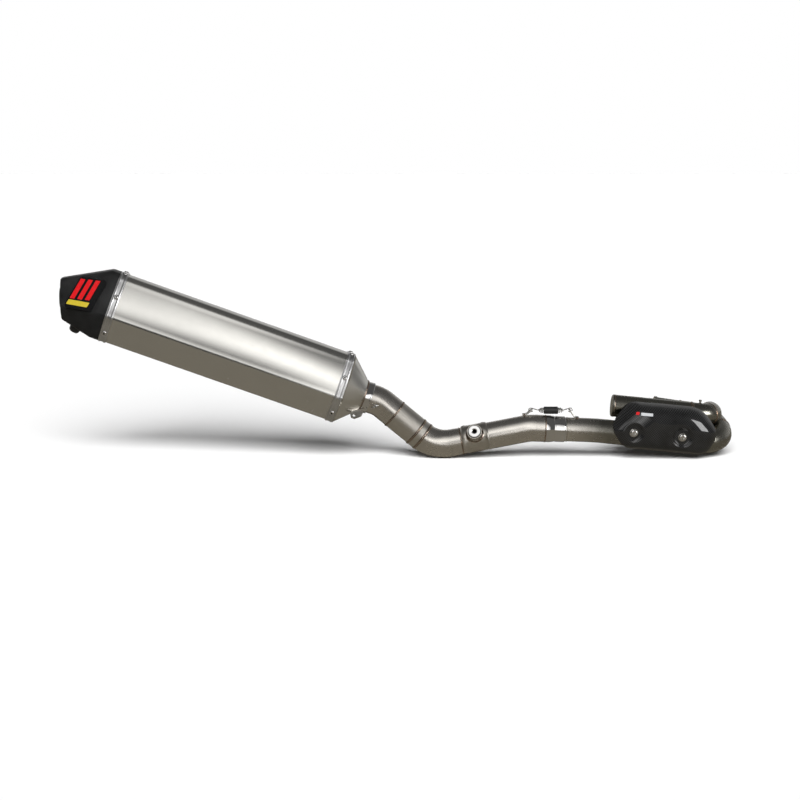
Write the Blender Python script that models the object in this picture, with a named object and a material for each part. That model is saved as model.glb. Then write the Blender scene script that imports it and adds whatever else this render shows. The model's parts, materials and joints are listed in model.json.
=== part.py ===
"""Racing exhaust system for a single-cylinder off-road machine.

Frame: metres, +Z up, +X to the front of the machine, +Y to its far side.
The origin is the centre of the header's engine end.  The header turns back
under a carbon heat shield, the link pipe slides over it at a spring-held slip
joint, and the six-sided muffler turns on the end of the link pipe.
"""
import math

import bmesh
import bpy
from mathutils import Matrix, Vector

MM = 0.001
GAP = 0.3          # clearance left between touching pieces
SIDES = 24         # facets round a pipe

# Pipes: outer radii and wall, millimetres
PORT_R, HEADER_R, CHAMBER_R = 19.0, 20.5, 19.0
SLEEVE_R, LINK_R, LINK_END_R = 22.0, 23.0, 25.0
WALL = 1.5

# Pipe centre lines: corner points, each with its bend radius
JOINT_POINT = Vector((-162.0, -112.0, -20.2))
JOINT_DIR = Vector((-1.0, 0.0, 0.037)).normalized()
MUFFLER_POINT = Vector((-508.7, -112.0, 37.1))
MUFFLER_SLOPE, MUFFLER_YAW = math.radians(20.1), math.radians(4.3)
HEADER_NEAR_X = -112.0
HEADER_CORNERS = [
    (Vector((5.0 + GAP, 0.0, -0.7)), 0.0),
    (Vector((101.0, 0.0, -12.0)), 52.0),
    (Vector((110.0, -112.0, -46.5)), 48.0),
]
CHAMBER_CORNERS = [
    (Vector((-80.0, -87.0, 17.0)), 0.0),
    (Vector((90.0, -87.0, 0.0)), 28.0),
    (Vector((91.0, -50.0, 0.0)), 0.0),
]
CHAMBER_TAIL, CHAMBER_TAIL_R = Vector((83.0, -15.0, -13.0)), 9.0
LINK_BEND_X, LINK_ELBOW = -226.0, Vector((-388.0, -112.0, -49.5))
LINK_ENTRY, LINK_INSERTION = 30.0, 22.0     # before and past the muffler's inlet plane
SLEEVE_START, SLEEVE_SHOULDER, SLEEVE_END = 4.0, 27.0, 37.5   # along the joint
SPIGOT_END = 34.0

# Where the pipes are welded from lengths
PORT_WELD_X, CROSS_WELD_Y, NEAR_WELD_X, CHAMBER_WELD_X = 46.0, -56.0, 40.0, 52.0
LINK_WELDS_X = (-342.0, -408.6, -419.0, -455.8)

# Plug stud on top of the chamber
STUD_FOOT, STUD_DIR = Vector((66.0, -87.0, 2.4)), Vector((0.1, 0.0, 1.0)).normalized()

# Muffler cross-section corners: toward the near side, up, corner radius
HALF_TOP, HALF_WIDE, HALF_BOTTOM = 29.0, 55.0, 28.0
TOP_UP, WIDE_UP, BOTTOM_UP = 60.0, -13.0, -56.0
SHELL_START, SHELL_END = 37.0, 451.0
BAND_WIDTH, BAND_THICK, SHELL_WALL = 14.0, 1.1, 1.4
COLLAR_START, CONE_START = -12.0, 1.3
CAP_CREST, CAP_WALL = 465.0, 2.2
CAP_END = Vector((530.0, 0.0, -13.0))       # centre of the slanted end face
CAP_END_SCALE = (0.64, 0.585)
CAP_END_TILT = math.atan2(-0.343, 0.94)     # the end face stands upright on the machine
OUTLET_R, OUTLET_PROUD, OUTLET_LENGTH = 17.8, 2.6, 52.0
CORE_R = 25.0
CORNER_STEPS, SECTION_FILL = 2, 3
LUG_HOLE_R = 2.6

# Retaining spring of the slip joint
SPRING_Z, SPRING_R, WIRE_R = 12.6, 3.9, 0.8
SPRING_LEFT, SPRING_RIGHT, SPRING_TURNS = -211.0, -169.0, 11
EYE_LEFT, EYE_RIGHT, EYE_R = -223.0, -158.0, 3.7
LINK_HOOK_FOOT, LINK_HOOK_TIP = Vector((-228.0, -112.0, 7.9)), Vector((-219.2, -112.0, 17.0))
HEADER_HOOK_FOOT, HEADER_HOOK_TIP = Vector((-152.8, -112.0, 3.0)), Vector((-160.5, -112.0, 17.0))

# Heat shield: outline corners (x, z, radius), dome and bolts
SHIELD_CORNERS = [
    (-92.0, -11.0, 26.0), (-56.0, 28.5, 26.0), (68.0, 17.0, 42.0),
    (94.0, -26.0, 28.0), (72.0, -62.5, 26.0), (-68.0, -48.5, 26.0),
]
SHIELD_CENTRE = (2.0, -19.0)
SHIELD_CROWN_Y, SHIELD_TOP_Y, SHIELD_LOW_Y = -147.0, -107.5, -131.0
SHIELD_REAR_Y, SHIELD_FRONT_Y = -137.0, -128.0
SHIELD_HALF_HEIGHT, SHIELD_REAR_X, SHIELD_TURN = 42.0, -88.0, 150.0
SHIELD_THICK, SHIELD_RINGS, SHIELD_DOME = 1.6, 9, 0.13
SHIELD_BOLTS = {"rear": (-52.0, -21.5), "front": (30.0, -29.2)}
DISH_R, SEAT_R, SEAT_Y = 18.0, 13.0, -142.6

# Hanger on the link pipe
HANGER_X, HANGER_TILT = -318.0, math.radians(26.0)
HANGER_HALF, HANGER_FACE = 23.0, 44.0
CUP_R, RUBBER_R, BUSH_R, BUSH_HOLE_R = 12.4, 11.0, 8.6, 4.0


# ---------------------------------------------------------------- helpers
def clear_scene():
    for item in list(bpy.data.objects):
        bpy.data.objects.remove(item, do_unlink=True)


def material(name, colour, roughness, metallic):
    found = bpy.data.materials.get(name)
    if found:
        return found
    made = bpy.data.materials.new(name)
    made.use_nodes = True
    shader = made.node_tree.nodes["Principled BSDF"]
    shader.inputs["Base Color"].default_value = (*colour, 1.0)
    shader.inputs["Roughness"].default_value = roughness
    shader.inputs["Metallic"].default_value = metallic
    return made


def titanium():
    return material("titanium", (0.42, 0.40, 0.37), 0.34, 1.0)


def steel():
    return material("steel", (0.55, 0.54, 0.52), 0.30, 1.0)


def aluminium():
    return material("aluminium", (0.86, 0.86, 0.85), 0.35, 1.0)


def carbon():
    return material("carbon", (0.02, 0.02, 0.022), 0.22, 0.0)


def rubber():
    return material("rubber", (0.015, 0.015, 0.015), 0.75, 0.0)


def wool():
    return material("wool", (0.75, 0.68, 0.45), 0.95, 0.0)


def empty(name, matrix, parent=None):
    made = bpy.data.objects.new(name, None)
    bpy.context.collection.objects.link(made)
    made.parent = parent
    made.matrix_world = matrix
    return made


def finish(name, mesh_data, look, parent, local=None):
    """Turn a bmesh in millimetres into one named object under its body's empty.

    With no local matrix, the bmesh is in machine axes.  With one, it is placed
    by that matrix in machine axes."""
    bmesh.ops.remove_doubles(mesh_data, verts=mesh_data.verts, dist=1e-4)
    bmesh.ops.recalc_face_normals(mesh_data, faces=mesh_data.faces)
    if local is not None:
        mesh_data.transform(local)
    mesh_data.transform(Matrix.Scale(MM, 4))
    mesh_data.transform(parent.matrix_world.inverted())
    mesh = bpy.data.meshes.new(name)
    mesh_data.to_mesh(mesh)
    mesh_data.free()
    mesh.shade_smooth()
    mesh.set_sharp_from_angle(angle=math.radians(35.0))
    made = bpy.data.objects.new(name, mesh)
    bpy.context.collection.objects.link(made)
    made.parent = parent
    made.data.materials.append(look)
    return made


def loop_surface(rings):
    """One closed body from rings of points, the last ring joined back to the first."""
    made = bmesh.new()
    verts = [[made.verts.new(point) for point in ring] for ring in rings]
    count = len(verts[0])
    for index, ring in enumerate(verts):
        following = verts[(index + 1) % len(verts)]
        for i in range(count):
            j = (i + 1) % count
            made.faces.new((ring[i], ring[j], following[j], following[i]))
    return made


def capped_surface(rings):
    """One closed body from rings of points, with a flat face on the first and the last."""
    made = bmesh.new()
    verts = [[made.verts.new(point) for point in ring] for ring in rings]
    count = len(verts[0])
    for ring, following in zip(verts, verts[1:]):
        for i in range(count):
            j = (i + 1) % count
            made.faces.new((ring[i], ring[j], following[j], following[i]))
    made.faces.new(verts[0])
    made.faces.new(verts[-1])
    return made


def circle(radius, sides=SIDES, turn=0.0):
    return [(radius * math.cos(2 * math.pi * i / sides + turn),
             radius * math.sin(2 * math.pi * i / sides + turn)) for i in range(sides)]


def rounded_path(corners, step_angle=math.radians(15.0)):
    """Points along a polyline whose inner corners become arcs of their own radius."""
    points = [corners[0][0]]
    for (before, _), (corner, radius), (after, _) in zip(corners, corners[1:], corners[2:]):
        to_before = (before - corner).normalized()
        to_after = (after - corner).normalized()
        inside = to_before.angle(to_after)
        sweep = math.pi - inside
        setback = radius * math.tan(sweep / 2)
        centre = corner + (to_before + to_after).normalized() * (radius / math.sin(inside / 2))
        start = corner + to_before * setback - centre
        axis = (-to_before).cross(to_after).normalized()
        steps = max(2, math.ceil(sweep / step_angle))
        for i in range(steps + 1):
            points.append(centre + Matrix.Rotation(sweep * i / steps, 3, axis) @ start)
    points.append(corners[-1][0])
    return points


def path_rings(points, radii, sides=SIDES):
    """Circles square to a path, kept from twisting round it."""
    tangents = []
    for i in range(len(points)):
        before = points[max(i - 1, 0)]
        after = points[min(i + 1, len(points) - 1)]
        if 0 < i < len(points) - 1:
            tangents.append(((points[i] - before).normalized()
                             + (after - points[i]).normalized()).normalized())
        else:
            tangents.append((after - before).normalized())
    side = tangents[0].orthogonal().normalized()
    rings = []
    for point, tangent, radius in zip(points, tangents, radii):
        side = (side - tangent * side.dot(tangent)).normalized()
        other = tangent.cross(side)
        rings.append([point + side * a + other * b for a, b in circle(radius, sides)])
    return rings


def pipe(name, points, radii, wall, look, parent, sides=SIDES):
    outer = path_rings(points, radii, sides)
    inner = path_rings(points, [r - wall for r in radii], sides)
    return finish(name, loop_surface(outer + inner[::-1]), look, parent)


def rod(name, points, radius, look, parent, sides=10):
    return finish(name, capped_surface(path_rings(points, [radius] * len(points), sides)), look, parent)


def frame_along(origin, direction, up=Vector((0, 0, 1))):
    """Matrix whose X runs along a direction and whose Z leans to up."""
    x = direction.normalized()
    z = (up - x * up.dot(x)).normalized()
    y = z.cross(x)
    rotation = Matrix((x, y, z)).transposed().to_4x4()
    return Matrix.Translation(origin) @ rotation


def turned(name, profile, look, parent, place, sides=24):
    """A ring turned round local X from (along, radius) points of a closed profile."""
    rings = [[Vector((along, a, b)) for a, b in circle(radius, sides)] for along, radius in profile]
    return finish(name, loop_surface(rings), look, parent, place)


def solid_turned(name, profile, look, parent, place, sides=24):
    """A solid turned round local X, flat at both ends of its open profile."""
    rings = [[Vector((along, a, b)) for a, b in circle(radius, sides)] for along, radius in profile]
    return finish(name, capped_surface(rings), look, parent, place)


# ---------------------------------------------------------------- centre lines
MUFFLER_DIR = Vector((-math.cos(MUFFLER_SLOPE) * math.cos(MUFFLER_YAW),
                      -math.cos(MUFFLER_SLOPE) * math.sin(MUFFLER_YAW),
                      math.sin(MUFFLER_SLOPE)))
MUFFLER_FRAME = frame_along(MUFFLER_POINT, MUFFLER_DIR)


def on_joint(distance):
    return JOINT_POINT + JOINT_DIR * distance


def joint_point_at(x):
    return on_joint((x - JOINT_POINT.x) / JOINT_DIR.x)


def on_muffler(distance):
    return MUFFLER_POINT + MUFFLER_DIR * distance


def header_path():
    near = joint_point_at(HEADER_NEAR_X)
    corners = HEADER_CORNERS + [(near, 420.0), (on_joint(SPIGOT_END), 0.0)]
    return rounded_path(corners)


def chamber_path():
    return rounded_path(CHAMBER_CORNERS) + [CHAMBER_TAIL]


def link_path():
    bend = joint_point_at(LINK_BEND_X)
    corners = [(on_joint(SLEEVE_END + GAP), 0.0), (bend, 90.0), (LINK_ELBOW, 62.0),
               (on_muffler(-LINK_ENTRY), 46.0), (on_muffler(LINK_INSERTION), 0.0)]
    return rounded_path(corners)


def split_at_x(points, x, gap=GAP):
    """Cut a path that runs along X where it passes x, leaving a gap between the halves."""
    for i, (a, b) in enumerate(zip(points, points[1:])):
        if (a.x - x) * (b.x - x) <= 0 and a.x != b.x:
            cut = a.lerp(b, (x - a.x) / (b.x - a.x))
            along = (b - a).normalized() * gap / 2
            return points[:i + 1] + [cut - along], [cut + along] + points[i + 1:]
    raise ValueError("the path does not reach that x")


def split_at_y(points, y, gap=GAP):
    swapped = [Vector((p.y, p.x, p.z)) for p in points]
    first, second = split_at_x(swapped, y, gap)
    return [Vector((p.y, p.x, p.z)) for p in first], [Vector((p.y, p.x, p.z)) for p in second]


def blend(points, start, end):
    """A radius for each point, going from start to end along the path."""
    lengths = [0.0]
    for a, b in zip(points, points[1:]):
        lengths.append(lengths[-1] + (b - a).length)
    return [start + (end - start) * s / lengths[-1] for s in lengths]


# ---------------------------------------------------------------- header
def build_header(body):
    path = header_path()
    port_part, rest = split_at_x(path, PORT_WELD_X)
    far_bend, rest = split_at_y(rest, CROSS_WELD_Y)
    front_half, rear_half = split_at_x(rest[1:], NEAR_WELD_X)
    near_bend = rest[:1] + front_half
    turned("port_ring", [(0, 16.2), (0, PORT_R + 0.4), (5, PORT_R + 0.4), (5, 16.2)], steel(), body,
           frame_along(Vector((0, 0, 0)), HEADER_CORNERS[1][0]), SIDES)
    pipe("header_port_tube", port_part, [PORT_R] * len(port_part), WALL, titanium(), body)
    pipe("header_far_bend", far_bend, blend(far_bend, PORT_R, HEADER_R), WALL, titanium(), body)
    pipe("header_near_bend", near_bend, [HEADER_R] * len(near_bend), WALL, titanium(), body)
    pipe("header_tube", rear_half, [HEADER_R] * len(rear_half), WALL, titanium(), body)
    return far_bend, near_bend


def build_chamber(body, far_bend, near_bend):
    """Resonance chamber: a closed side tube that runs out of the header's cross leg."""
    straight, bend = split_at_x(chamber_path(), CHAMBER_WELD_X)
    pipe("chamber_tube", straight, [CHAMBER_R] * len(straight), WALL, titanium(), body)
    radii = [CHAMBER_R] * (len(bend) - 1) + [CHAMBER_TAIL_R]
    tail = pipe("chamber_bend", bend, radii, WALL, titanium(), body)
    cut_line = far_bend + near_bend[1:]
    cut_radii = (blend(far_bend, PORT_R, HEADER_R) + [HEADER_R] * (len(near_bend) - 1))
    cutter = finish("chamber_cutter",
                    capped_surface(path_rings(cut_line, [r + GAP for r in cut_radii])),
                    titanium(), body)
    cutter.hide_render = True
    cutter.display_type = "WIRE"
    cut = tail.modifiers.new("saddle cut", "BOOLEAN")
    cut.operation = "DIFFERENCE"
    cut.object = cutter
    start = CHAMBER_CORNERS[0][0]
    outward = (start - CHAMBER_CORNERS[1][0]).normalized()
    profile = [(GAP, CHAMBER_R), (2.6, CHAMBER_R), (4.2, CHAMBER_R - 1.6)]
    solid_turned("chamber_cap", profile, titanium(), body, frame_along(start, outward), SIDES)
    profile = [(CHAMBER_R + 0.5, 1.8), (CHAMBER_R + 3.2, 1.8), (CHAMBER_R + 3.3, 2.6), (CHAMBER_R + 5.8, 2.6)]
    seat = frame_along(STUD_FOOT, STUD_DIR, Vector((1, 0, 0)))
    solid_turned("chamber_stud", profile, steel(), body, seat, 10)


def corner_points(corners, offset=0.0, steps=4):
    """A convex outline with rounded corners, grown by an offset; corners are (a, b, radius)."""
    outline = []
    count = len(corners)
    for i, (a, b, radius) in enumerate(corners):
        here = Vector((a, b))
        before = Vector(corners[i - 1][:2])
        after = Vector(corners[(i + 1) % count][:2])
        to_before, to_after = (before - here).normalized(), (after - here).normalized()
        half = to_before.angle(to_after) / 2
        middle = here + (to_before + to_after).normalized() * radius / math.sin(half)
        turn = math.pi - 2 * half
        sign = 1.0 if to_before.x * to_after.y - to_before.y * to_after.x < 0 else -1.0
        away = -(to_before + to_after).normalized()
        for k in range(steps + 1):
            angle = sign * turn * (k / steps - 0.5)
            ca, sa = math.cos(angle), math.sin(angle)
            direction = Vector((away.x * ca - away.y * sa, away.x * sa + away.y * ca))
            outline.append(middle + direction * (radius + offset))
    return outline


def filled_outline(outline, spacing):
    """The outline with more points on its long straight stretches."""
    filled = []
    for a, b in zip(outline, outline[1:] + outline[:1]):
        count = max(1, round((b - a).length / spacing))
        filled += [a.lerp(b, i / count) for i in range(count)]
    return filled


def seat_share(x, z):
    """1 on the flat seat of a bolt, falling to 0 at the rim of its dish."""
    nearest = min(math.hypot(x - a, z - b) for a, b in SHIELD_BOLTS.values())
    share = min(1.0, max(0.0, (DISH_R - nearest) / (DISH_R - SEAT_R)))
    return share * share * (3.0 - 2.0 * share)


def shield_point(edge, fraction, thick):
    centre = Vector(SHIELD_CENTRE)
    flat = centre.lerp(edge, fraction)
    lean = (edge.y - SHIELD_CENTRE[1]) / SHIELD_HALF_HEIGHT
    end_y = SHIELD_TOP_Y if lean > 0 else SHIELD_LOW_Y
    forward = min(1.0, max(0.0, (edge.x - SHIELD_REAR_X) / SHIELD_TURN))
    side_y = SHIELD_REAR_Y + (SHIELD_FRONT_Y - SHIELD_REAR_Y) * forward
    rim_y = side_y + (end_y - side_y) * min(1.0, abs(lean))
    rise = SHIELD_DOME * fraction ** 2 + (1.0 - SHIELD_DOME) * fraction ** 7
    y = SHIELD_CROWN_Y + (rim_y - SHIELD_CROWN_Y) * rise
    y += (SEAT_Y - y) * seat_share(flat.x, flat.y)
    return Vector((flat.x, y + thick, flat.y))


def build_shield(body):
    outer_edge = filled_outline(corner_points(SHIELD_CORNERS, 0.0, 3), 9.0)
    middle = Vector(SHIELD_CENTRE)
    inner_edge = [point - (point - middle).normalized() * SHIELD_THICK for point in outer_edge]
    steps = [0.06] + [(i / SHIELD_RINGS) ** 0.6 for i in range(1, SHIELD_RINGS + 1)]
    outer = [[shield_point(e, f, 0.0) for e in outer_edge] for f in steps]
    inner = [[shield_point(e, f, SHIELD_THICK) for e in inner_edge] for f in reversed(steps)]
    finish("heat_shield", capped_surface(outer + inner), carbon(), body)
    rear, front = joint_point_at(HEADER_NEAR_X), HEADER_CORNERS[-1][0]
    for place, (x, z) in SHIELD_BOLTS.items():
        pipe_z = rear.lerp(front, (x - rear.x) / (front.x - rear.x)).z
        pipe_y = JOINT_POINT.y - math.sqrt(HEADER_R ** 2 - (z - pipe_z) ** 2)
        seat = frame_along(Vector((x, SEAT_Y, z)), Vector((0, -1, 0)))
        back = pipe_y - SEAT_Y
        profile = [(-back + 2.4, 5.0), (-SHIELD_THICK - 2 * GAP - 0.6, 5.0), (-SHIELD_THICK - 2 * GAP, 4.4)]
        solid_turned("shield_boss_" + place, profile, titanium(), body, seat, 16)
        ring = [(0.9, 2.4), (0.9, 7.2), (1.9, 7.2), (1.9, 2.4)]
        turned("shield_washer_" + place, ring, steel(), body, seat)
        head = [(2.2, 6.0), (4.8, 6.0), (5.6, 5.0), (5.6, 3.0), (3.4, 2.8)]
        rings = [[Vector((s, a, b)) for a, b in circle(r, 24)] for s, r in head]
        finish("shield_bolt_" + place, capped_surface(rings), steel(), body, seat)


# ---------------------------------------------------------------- link pipe
def build_link(body):
    sleeve = [(SLEEVE_START, SLEEVE_R - 0.6), (SLEEVE_START + 0.8, SLEEVE_R),
              (SLEEVE_SHOULDER, SLEEVE_R), (SLEEVE_SHOULDER + 3.0, LINK_R), (SLEEVE_END, LINK_R),
              (SLEEVE_END, HEADER_R + 0.4), (SLEEVE_START, HEADER_R + 0.4)]
    turned("link_sleeve", sleeve, titanium(), body, frame_along(JOINT_POINT, JOINT_DIR), SIDES)
    saddle_x, elbow_x, ring_x, end_x = LINK_WELDS_X
    front, rest = split_at_x(link_path(), saddle_x)
    elbow, rest = split_at_x(rest, elbow_x)
    ring, rest = split_at_x(rest, ring_x)
    middle, end = split_at_x(rest, end_x)
    pipe("link_front_tube", front, [LINK_R] * len(front), WALL, titanium(), body)
    pipe("link_elbow", elbow, blend(elbow, LINK_R, LINK_END_R), WALL, titanium(), body)
    pipe("link_ring", ring, [LINK_END_R] * len(ring), WALL, titanium(), body)
    pipe("link_middle_tube", middle, [LINK_END_R] * len(middle), WALL, titanium(), body)
    pipe("link_end_tube", end, [LINK_END_R] * len(end), WALL, titanium(), body)
    build_hanger(body, front)


def build_hanger(body, front):
    """A strap over the pipe that carries a cup, a rubber ring and a metal bush."""
    a, b = front[-2], front[-1]
    along = (b - a).normalized()
    centre = a.lerp(b, (HANGER_X - a.x) / (b.x - a.x))
    outward = Vector((0, -math.cos(HANGER_TILT), math.sin(HANGER_TILT)))
    outward = (outward - along * outward.dot(along)).normalized()
    seat = frame_along(centre, outward, -along)
    inner, outer = LINK_R + 0.5, LINK_R + 2.3
    steps = 12
    angles = [math.radians(-72.0 + 150.0 * i / steps) for i in range(steps + 1)]
    rings = []
    for angle in angles:
        c, s = math.cos(angle), math.sin(angle)
        rings.append([Vector((inner * c, inner * s, -HANGER_HALF)),
                      Vector((outer * c, outer * s, -HANGER_HALF)),
                      Vector((outer * c, outer * s, HANGER_HALF)),
                      Vector((inner * c, inner * s, HANGER_HALF))])
    finish("hanger_saddle", capped_surface(rings), titanium(), body, seat)
    base = outer + 0.6
    face = HANGER_FACE
    cup = [(base + 2.5, 4.0), (base + 0.4, 4.0), (base + 0.4, CUP_R), (face - 2.0, CUP_R),
           (face - 2.0, RUBBER_R + GAP), (base + 2.5, RUBBER_R + GAP)]
    turned("hanger_cup", cup, titanium(), body, seat)
    ring = [(base + 2.8, BUSH_R + GAP), (base + 2.8, RUBBER_R),
            (face - 2.6, RUBBER_R), (face - 2.6, BUSH_R + GAP)]
    turned("hanger_rubber", ring, rubber(), body, seat)
    bush = [(base + 2.8, BUSH_HOLE_R), (base + 2.8, BUSH_R), (face - 2.0, BUSH_R), (face - 1.0, 9.8),
            (face, 9.8), (face, BUSH_HOLE_R)]
    turned("hanger_bush", bush, aluminium(), body, seat)


def hook(name, foot, tip, parent):
    """A slanted peg, welded to the pipe, that holds an eye of the spring."""
    lift = (tip - foot).normalized()
    place = frame_along(foot, lift, Vector((0, 1, 0)))
    length = (tip - foot).length
    profile = [(0.0, 3.4), (2.2, 1.6), (length - 1.6, 1.4), (length - 1.4, 2.4), (length, 2.4)]
    solid_turned(name, profile, steel(), parent, place, 12)


def spring_line():
    """Centre line of the spring wire: an eye, a close coil and another eye."""
    y = JOINT_POINT.y
    points = []
    for k in range(11):
        angle = math.radians(210.0 - 21.0 * k)
        points.append(Vector((EYE_LEFT + EYE_R * math.cos(angle), y + EYE_R * math.sin(angle), SPRING_Z)))
    points.append(Vector((EYE_LEFT + EYE_R + 3.0, y + 0.4, SPRING_Z)))
    per_turn = 8
    total = SPRING_TURNS * per_turn
    for k in range(total + 1):
        angle = 2 * math.pi * k / per_turn
        grow = min(1.0, (k + 1) / 8.0, (total - k + 1) / 8.0)
        x = SPRING_LEFT + (SPRING_RIGHT - SPRING_LEFT) * k / total
        radius = SPRING_R * grow
        points.append(Vector((x, y + radius * math.cos(angle), SPRING_Z + radius * math.sin(angle))))
    points.append(Vector((EYE_RIGHT - EYE_R - 3.0, y - 0.4, SPRING_Z)))
    for k in range(11):
        angle = math.radians(180.0 + 21.0 * k)
        points.append(Vector((EYE_RIGHT + EYE_R * math.cos(angle), y + EYE_R * math.sin(angle), SPRING_Z)))
    return points


def build_spring(header_body, link_body):
    y = JOINT_POINT.y
    hook("link_spring_hook", LINK_HOOK_FOOT, LINK_HOOK_TIP, link_body)
    hook("header_spring_hook", HEADER_HOOK_FOOT, HEADER_HOOK_TIP, header_body)
    rod("joint_spring", spring_line(), WIRE_R, steel(), link_body, 5)
    middle = (SPRING_LEFT + SPRING_RIGHT) / 2
    profile = [(-12.0, SPRING_R + WIRE_R + 0.3), (-12.0, 5.8), (-11.4, 6.3), (11.4, 6.3), (12.0, 5.8),
               (12.0, SPRING_R + WIRE_R + 0.3)]
    turned("joint_spring_sleeve", profile, rubber(), link_body,
           frame_along(Vector((middle, y, SPRING_Z)), Vector((1, 0, 0))), 20)


# ---------------------------------------------------------------- muffler
def section_corners():
    return [(HALF_TOP, TOP_UP, 14.0), (HALF_WIDE, WIDE_UP, 7.0), (HALF_BOTTOM, BOTTOM_UP, 9.0),
            (-HALF_BOTTOM, BOTTOM_UP, 9.0), (-HALF_WIDE, WIDE_UP, 7.0), (-HALF_TOP, TOP_UP, 14.0)]


def section(offset=0.0):
    """The section's outline, with SECTION_FILL points along each flat."""
    rounded = corner_points(section_corners(), offset, CORNER_STEPS)
    outline = []
    for i, (a, b) in enumerate(zip(rounded, rounded[1:] + rounded[:1])):
        count = SECTION_FILL + 1 if (i + 1) % (CORNER_STEPS + 1) == 0 else 1
        outline += [a.lerp(b, k / count) for k in range(count)]
    return outline


def section_ring(along, offset=0.0):
    return [Vector((along, p.x, p.y)) for p in section(offset)]


def round_ring(along, radius):
    """A circle with one point in line with each point of the six-sided section."""
    ring = []
    for point in section():
        angle = math.atan2(point.y, point.x)
        ring.append(Vector((along, radius * math.cos(angle), radius * math.sin(angle))))
    return ring


def mix_rings(first, second, fraction):
    return [a.lerp(b, fraction) for a, b in zip(first, second)]


def hex_sleeve(name, start, end, outer, inner, look, body):
    rings = [section_ring(start, outer), section_ring(end, outer),
             section_ring(end, inner), section_ring(start, inner)]
    finish(name, loop_surface(rings), look, body, MUFFLER_FRAME)


def build_shell(body):
    hex_sleeve("muffler_shell", SHELL_START, SHELL_END, 0.0, -SHELL_WALL, titanium(), body)
    for name, start in (("inlet_band", SHELL_START + 0.4), ("outlet_band", SHELL_END - BAND_WIDTH)):
        hex_sleeve(name, start, start + BAND_WIDTH - 0.4, GAP + BAND_THICK, GAP, steel(), body)
    packing = [section_ring(SHELL_START + 5, -SHELL_WALL - 0.6), section_ring(SHELL_END - 6, -SHELL_WALL - 0.6),
               round_ring(SHELL_END - 6, CORE_R + 0.6), round_ring(SHELL_START + 5, CORE_R + 0.6)]
    finish("packing", loop_surface(packing), wool(), body, MUFFLER_FRAME)
    core = [(LINK_INSERTION + 2.0, CORE_R), (SHELL_END - 3.0, CORE_R), (SHELL_END - 3.0, CORE_R - 1.5),
            (LINK_INSERTION + 2.0, CORE_R - 1.5)]
    turned("perforated_core", core, steel(), body, MUFFLER_FRAME, SIDES)


def build_inlet(body):
    big, small = section_ring(SHELL_START - GAP, 0.8), round_ring(CONE_START, 27.6)
    big_in, small_in = section_ring(SHELL_START - GAP, -0.7), round_ring(CONE_START, 26.0)
    outer, inner = [], []
    for k in range(5):
        fraction = k / 4
        outer.append(mix_rings(small, big, fraction))
        inner.append(mix_rings(small_in, big_in, fraction))
    finish("inlet_cap", loop_surface(outer + inner[::-1]), titanium(), body, MUFFLER_FRAME)
    collar = [(COLLAR_START, LINK_END_R + 0.5), (COLLAR_START, 27.2), (COLLAR_START + 2.6, 27.2),
              (COLLAR_START + 3.6, 26.7), (CONE_START - GAP, 26.7), (CONE_START - GAP, LINK_END_R + 0.5)]
    turned("inlet_collar", collar, steel(), body, MUFFLER_FRAME, SIDES)


def end_ring(offset=0.0, sink=0.0):
    """The cap's end outline: the section scaled down and stood upright."""
    centre_up = (TOP_UP + BOTTOM_UP) / 2
    normal = Vector((math.cos(CAP_END_TILT), 0, math.sin(CAP_END_TILT)))
    across = Vector((-normal.z, 0, normal.x))
    ring = []
    for point in section(offset):
        flat = Vector((0, point.x * CAP_END_SCALE[0], 0))
        ring.append(CAP_END + flat + across * (point.y - centre_up) * CAP_END_SCALE[1] - normal * sink)
    return ring


def outlet_ring(radius, sink):
    normal = Vector((math.cos(CAP_END_TILT), 0, math.sin(CAP_END_TILT)))
    across = Vector((-normal.z, 0, normal.x))
    ring = []
    for point in section():
        angle = math.atan2(point.y, point.x)
        ring.append(CAP_END + Vector((0, radius * math.cos(angle), 0))
                    + across * radius * math.sin(angle) - normal * sink)
    return ring


def build_outlet(body):
    base = SHELL_END + GAP
    straight = section_ring(CAP_CREST, 0.8)
    rings = [section_ring(base, 0.8), straight]
    for fraction in (0.25, 0.5, 0.75, 0.95):
        rings.append(mix_rings(straight, end_ring(0.0), fraction))
    rings += [end_ring(-4.0), outlet_ring(OUTLET_R + 0.4, 0.0), outlet_ring(OUTLET_R + 0.4, CAP_WALL)]
    inner_straight = section_ring(CAP_CREST - 1.0, 0.8 - CAP_WALL)
    inner_end = end_ring(-CAP_WALL / 0.6, CAP_WALL)
    for fraction in (0.93, 0.5):
        rings.append(mix_rings(inner_straight, inner_end, fraction))
    rings += [inner_straight, section_ring(base, 0.8 - CAP_WALL)]
    finish("outlet_cap", loop_surface(rings), carbon(), body, MUFFLER_FRAME)
    normal = Vector((math.cos(CAP_END_TILT), 0, math.sin(CAP_END_TILT)))
    mouth = MUFFLER_FRAME @ frame_along(CAP_END, normal)
    inner = OUTLET_R - 1.4
    tube = [(-OUTLET_LENGTH, OUTLET_R), (OUTLET_PROUD - 0.6, OUTLET_R), (OUTLET_PROUD, OUTLET_R - 0.6),
            (OUTLET_PROUD, inner), (-OUTLET_LENGTH, inner)]
    turned("outlet_tube", tube, steel(), body, mouth, SIDES)
    insert = [(-34.0, 11.0), (-34.0, 12.4), (-6.0, inner - 0.5), (-3.0, inner - 0.5),
              (-3.0, 12.0), (-5.0, 11.0)]
    turned("noise_insert", insert, steel(), body, mouth, SIDES)
    drop = Vector((0.175, 0.0, -0.985))
    seat = MUFFLER_FRAME @ frame_along(Vector((493.0, 0.0, -50.6)), drop, Vector((1, 0, 0)))
    head = [(0.6, 9.0), (5.0, 9.0), (8.6, 7.4), (10.4, 4.0)]
    solid_turned("insert_screw", head, rubber(), body, seat, 20)


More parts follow.
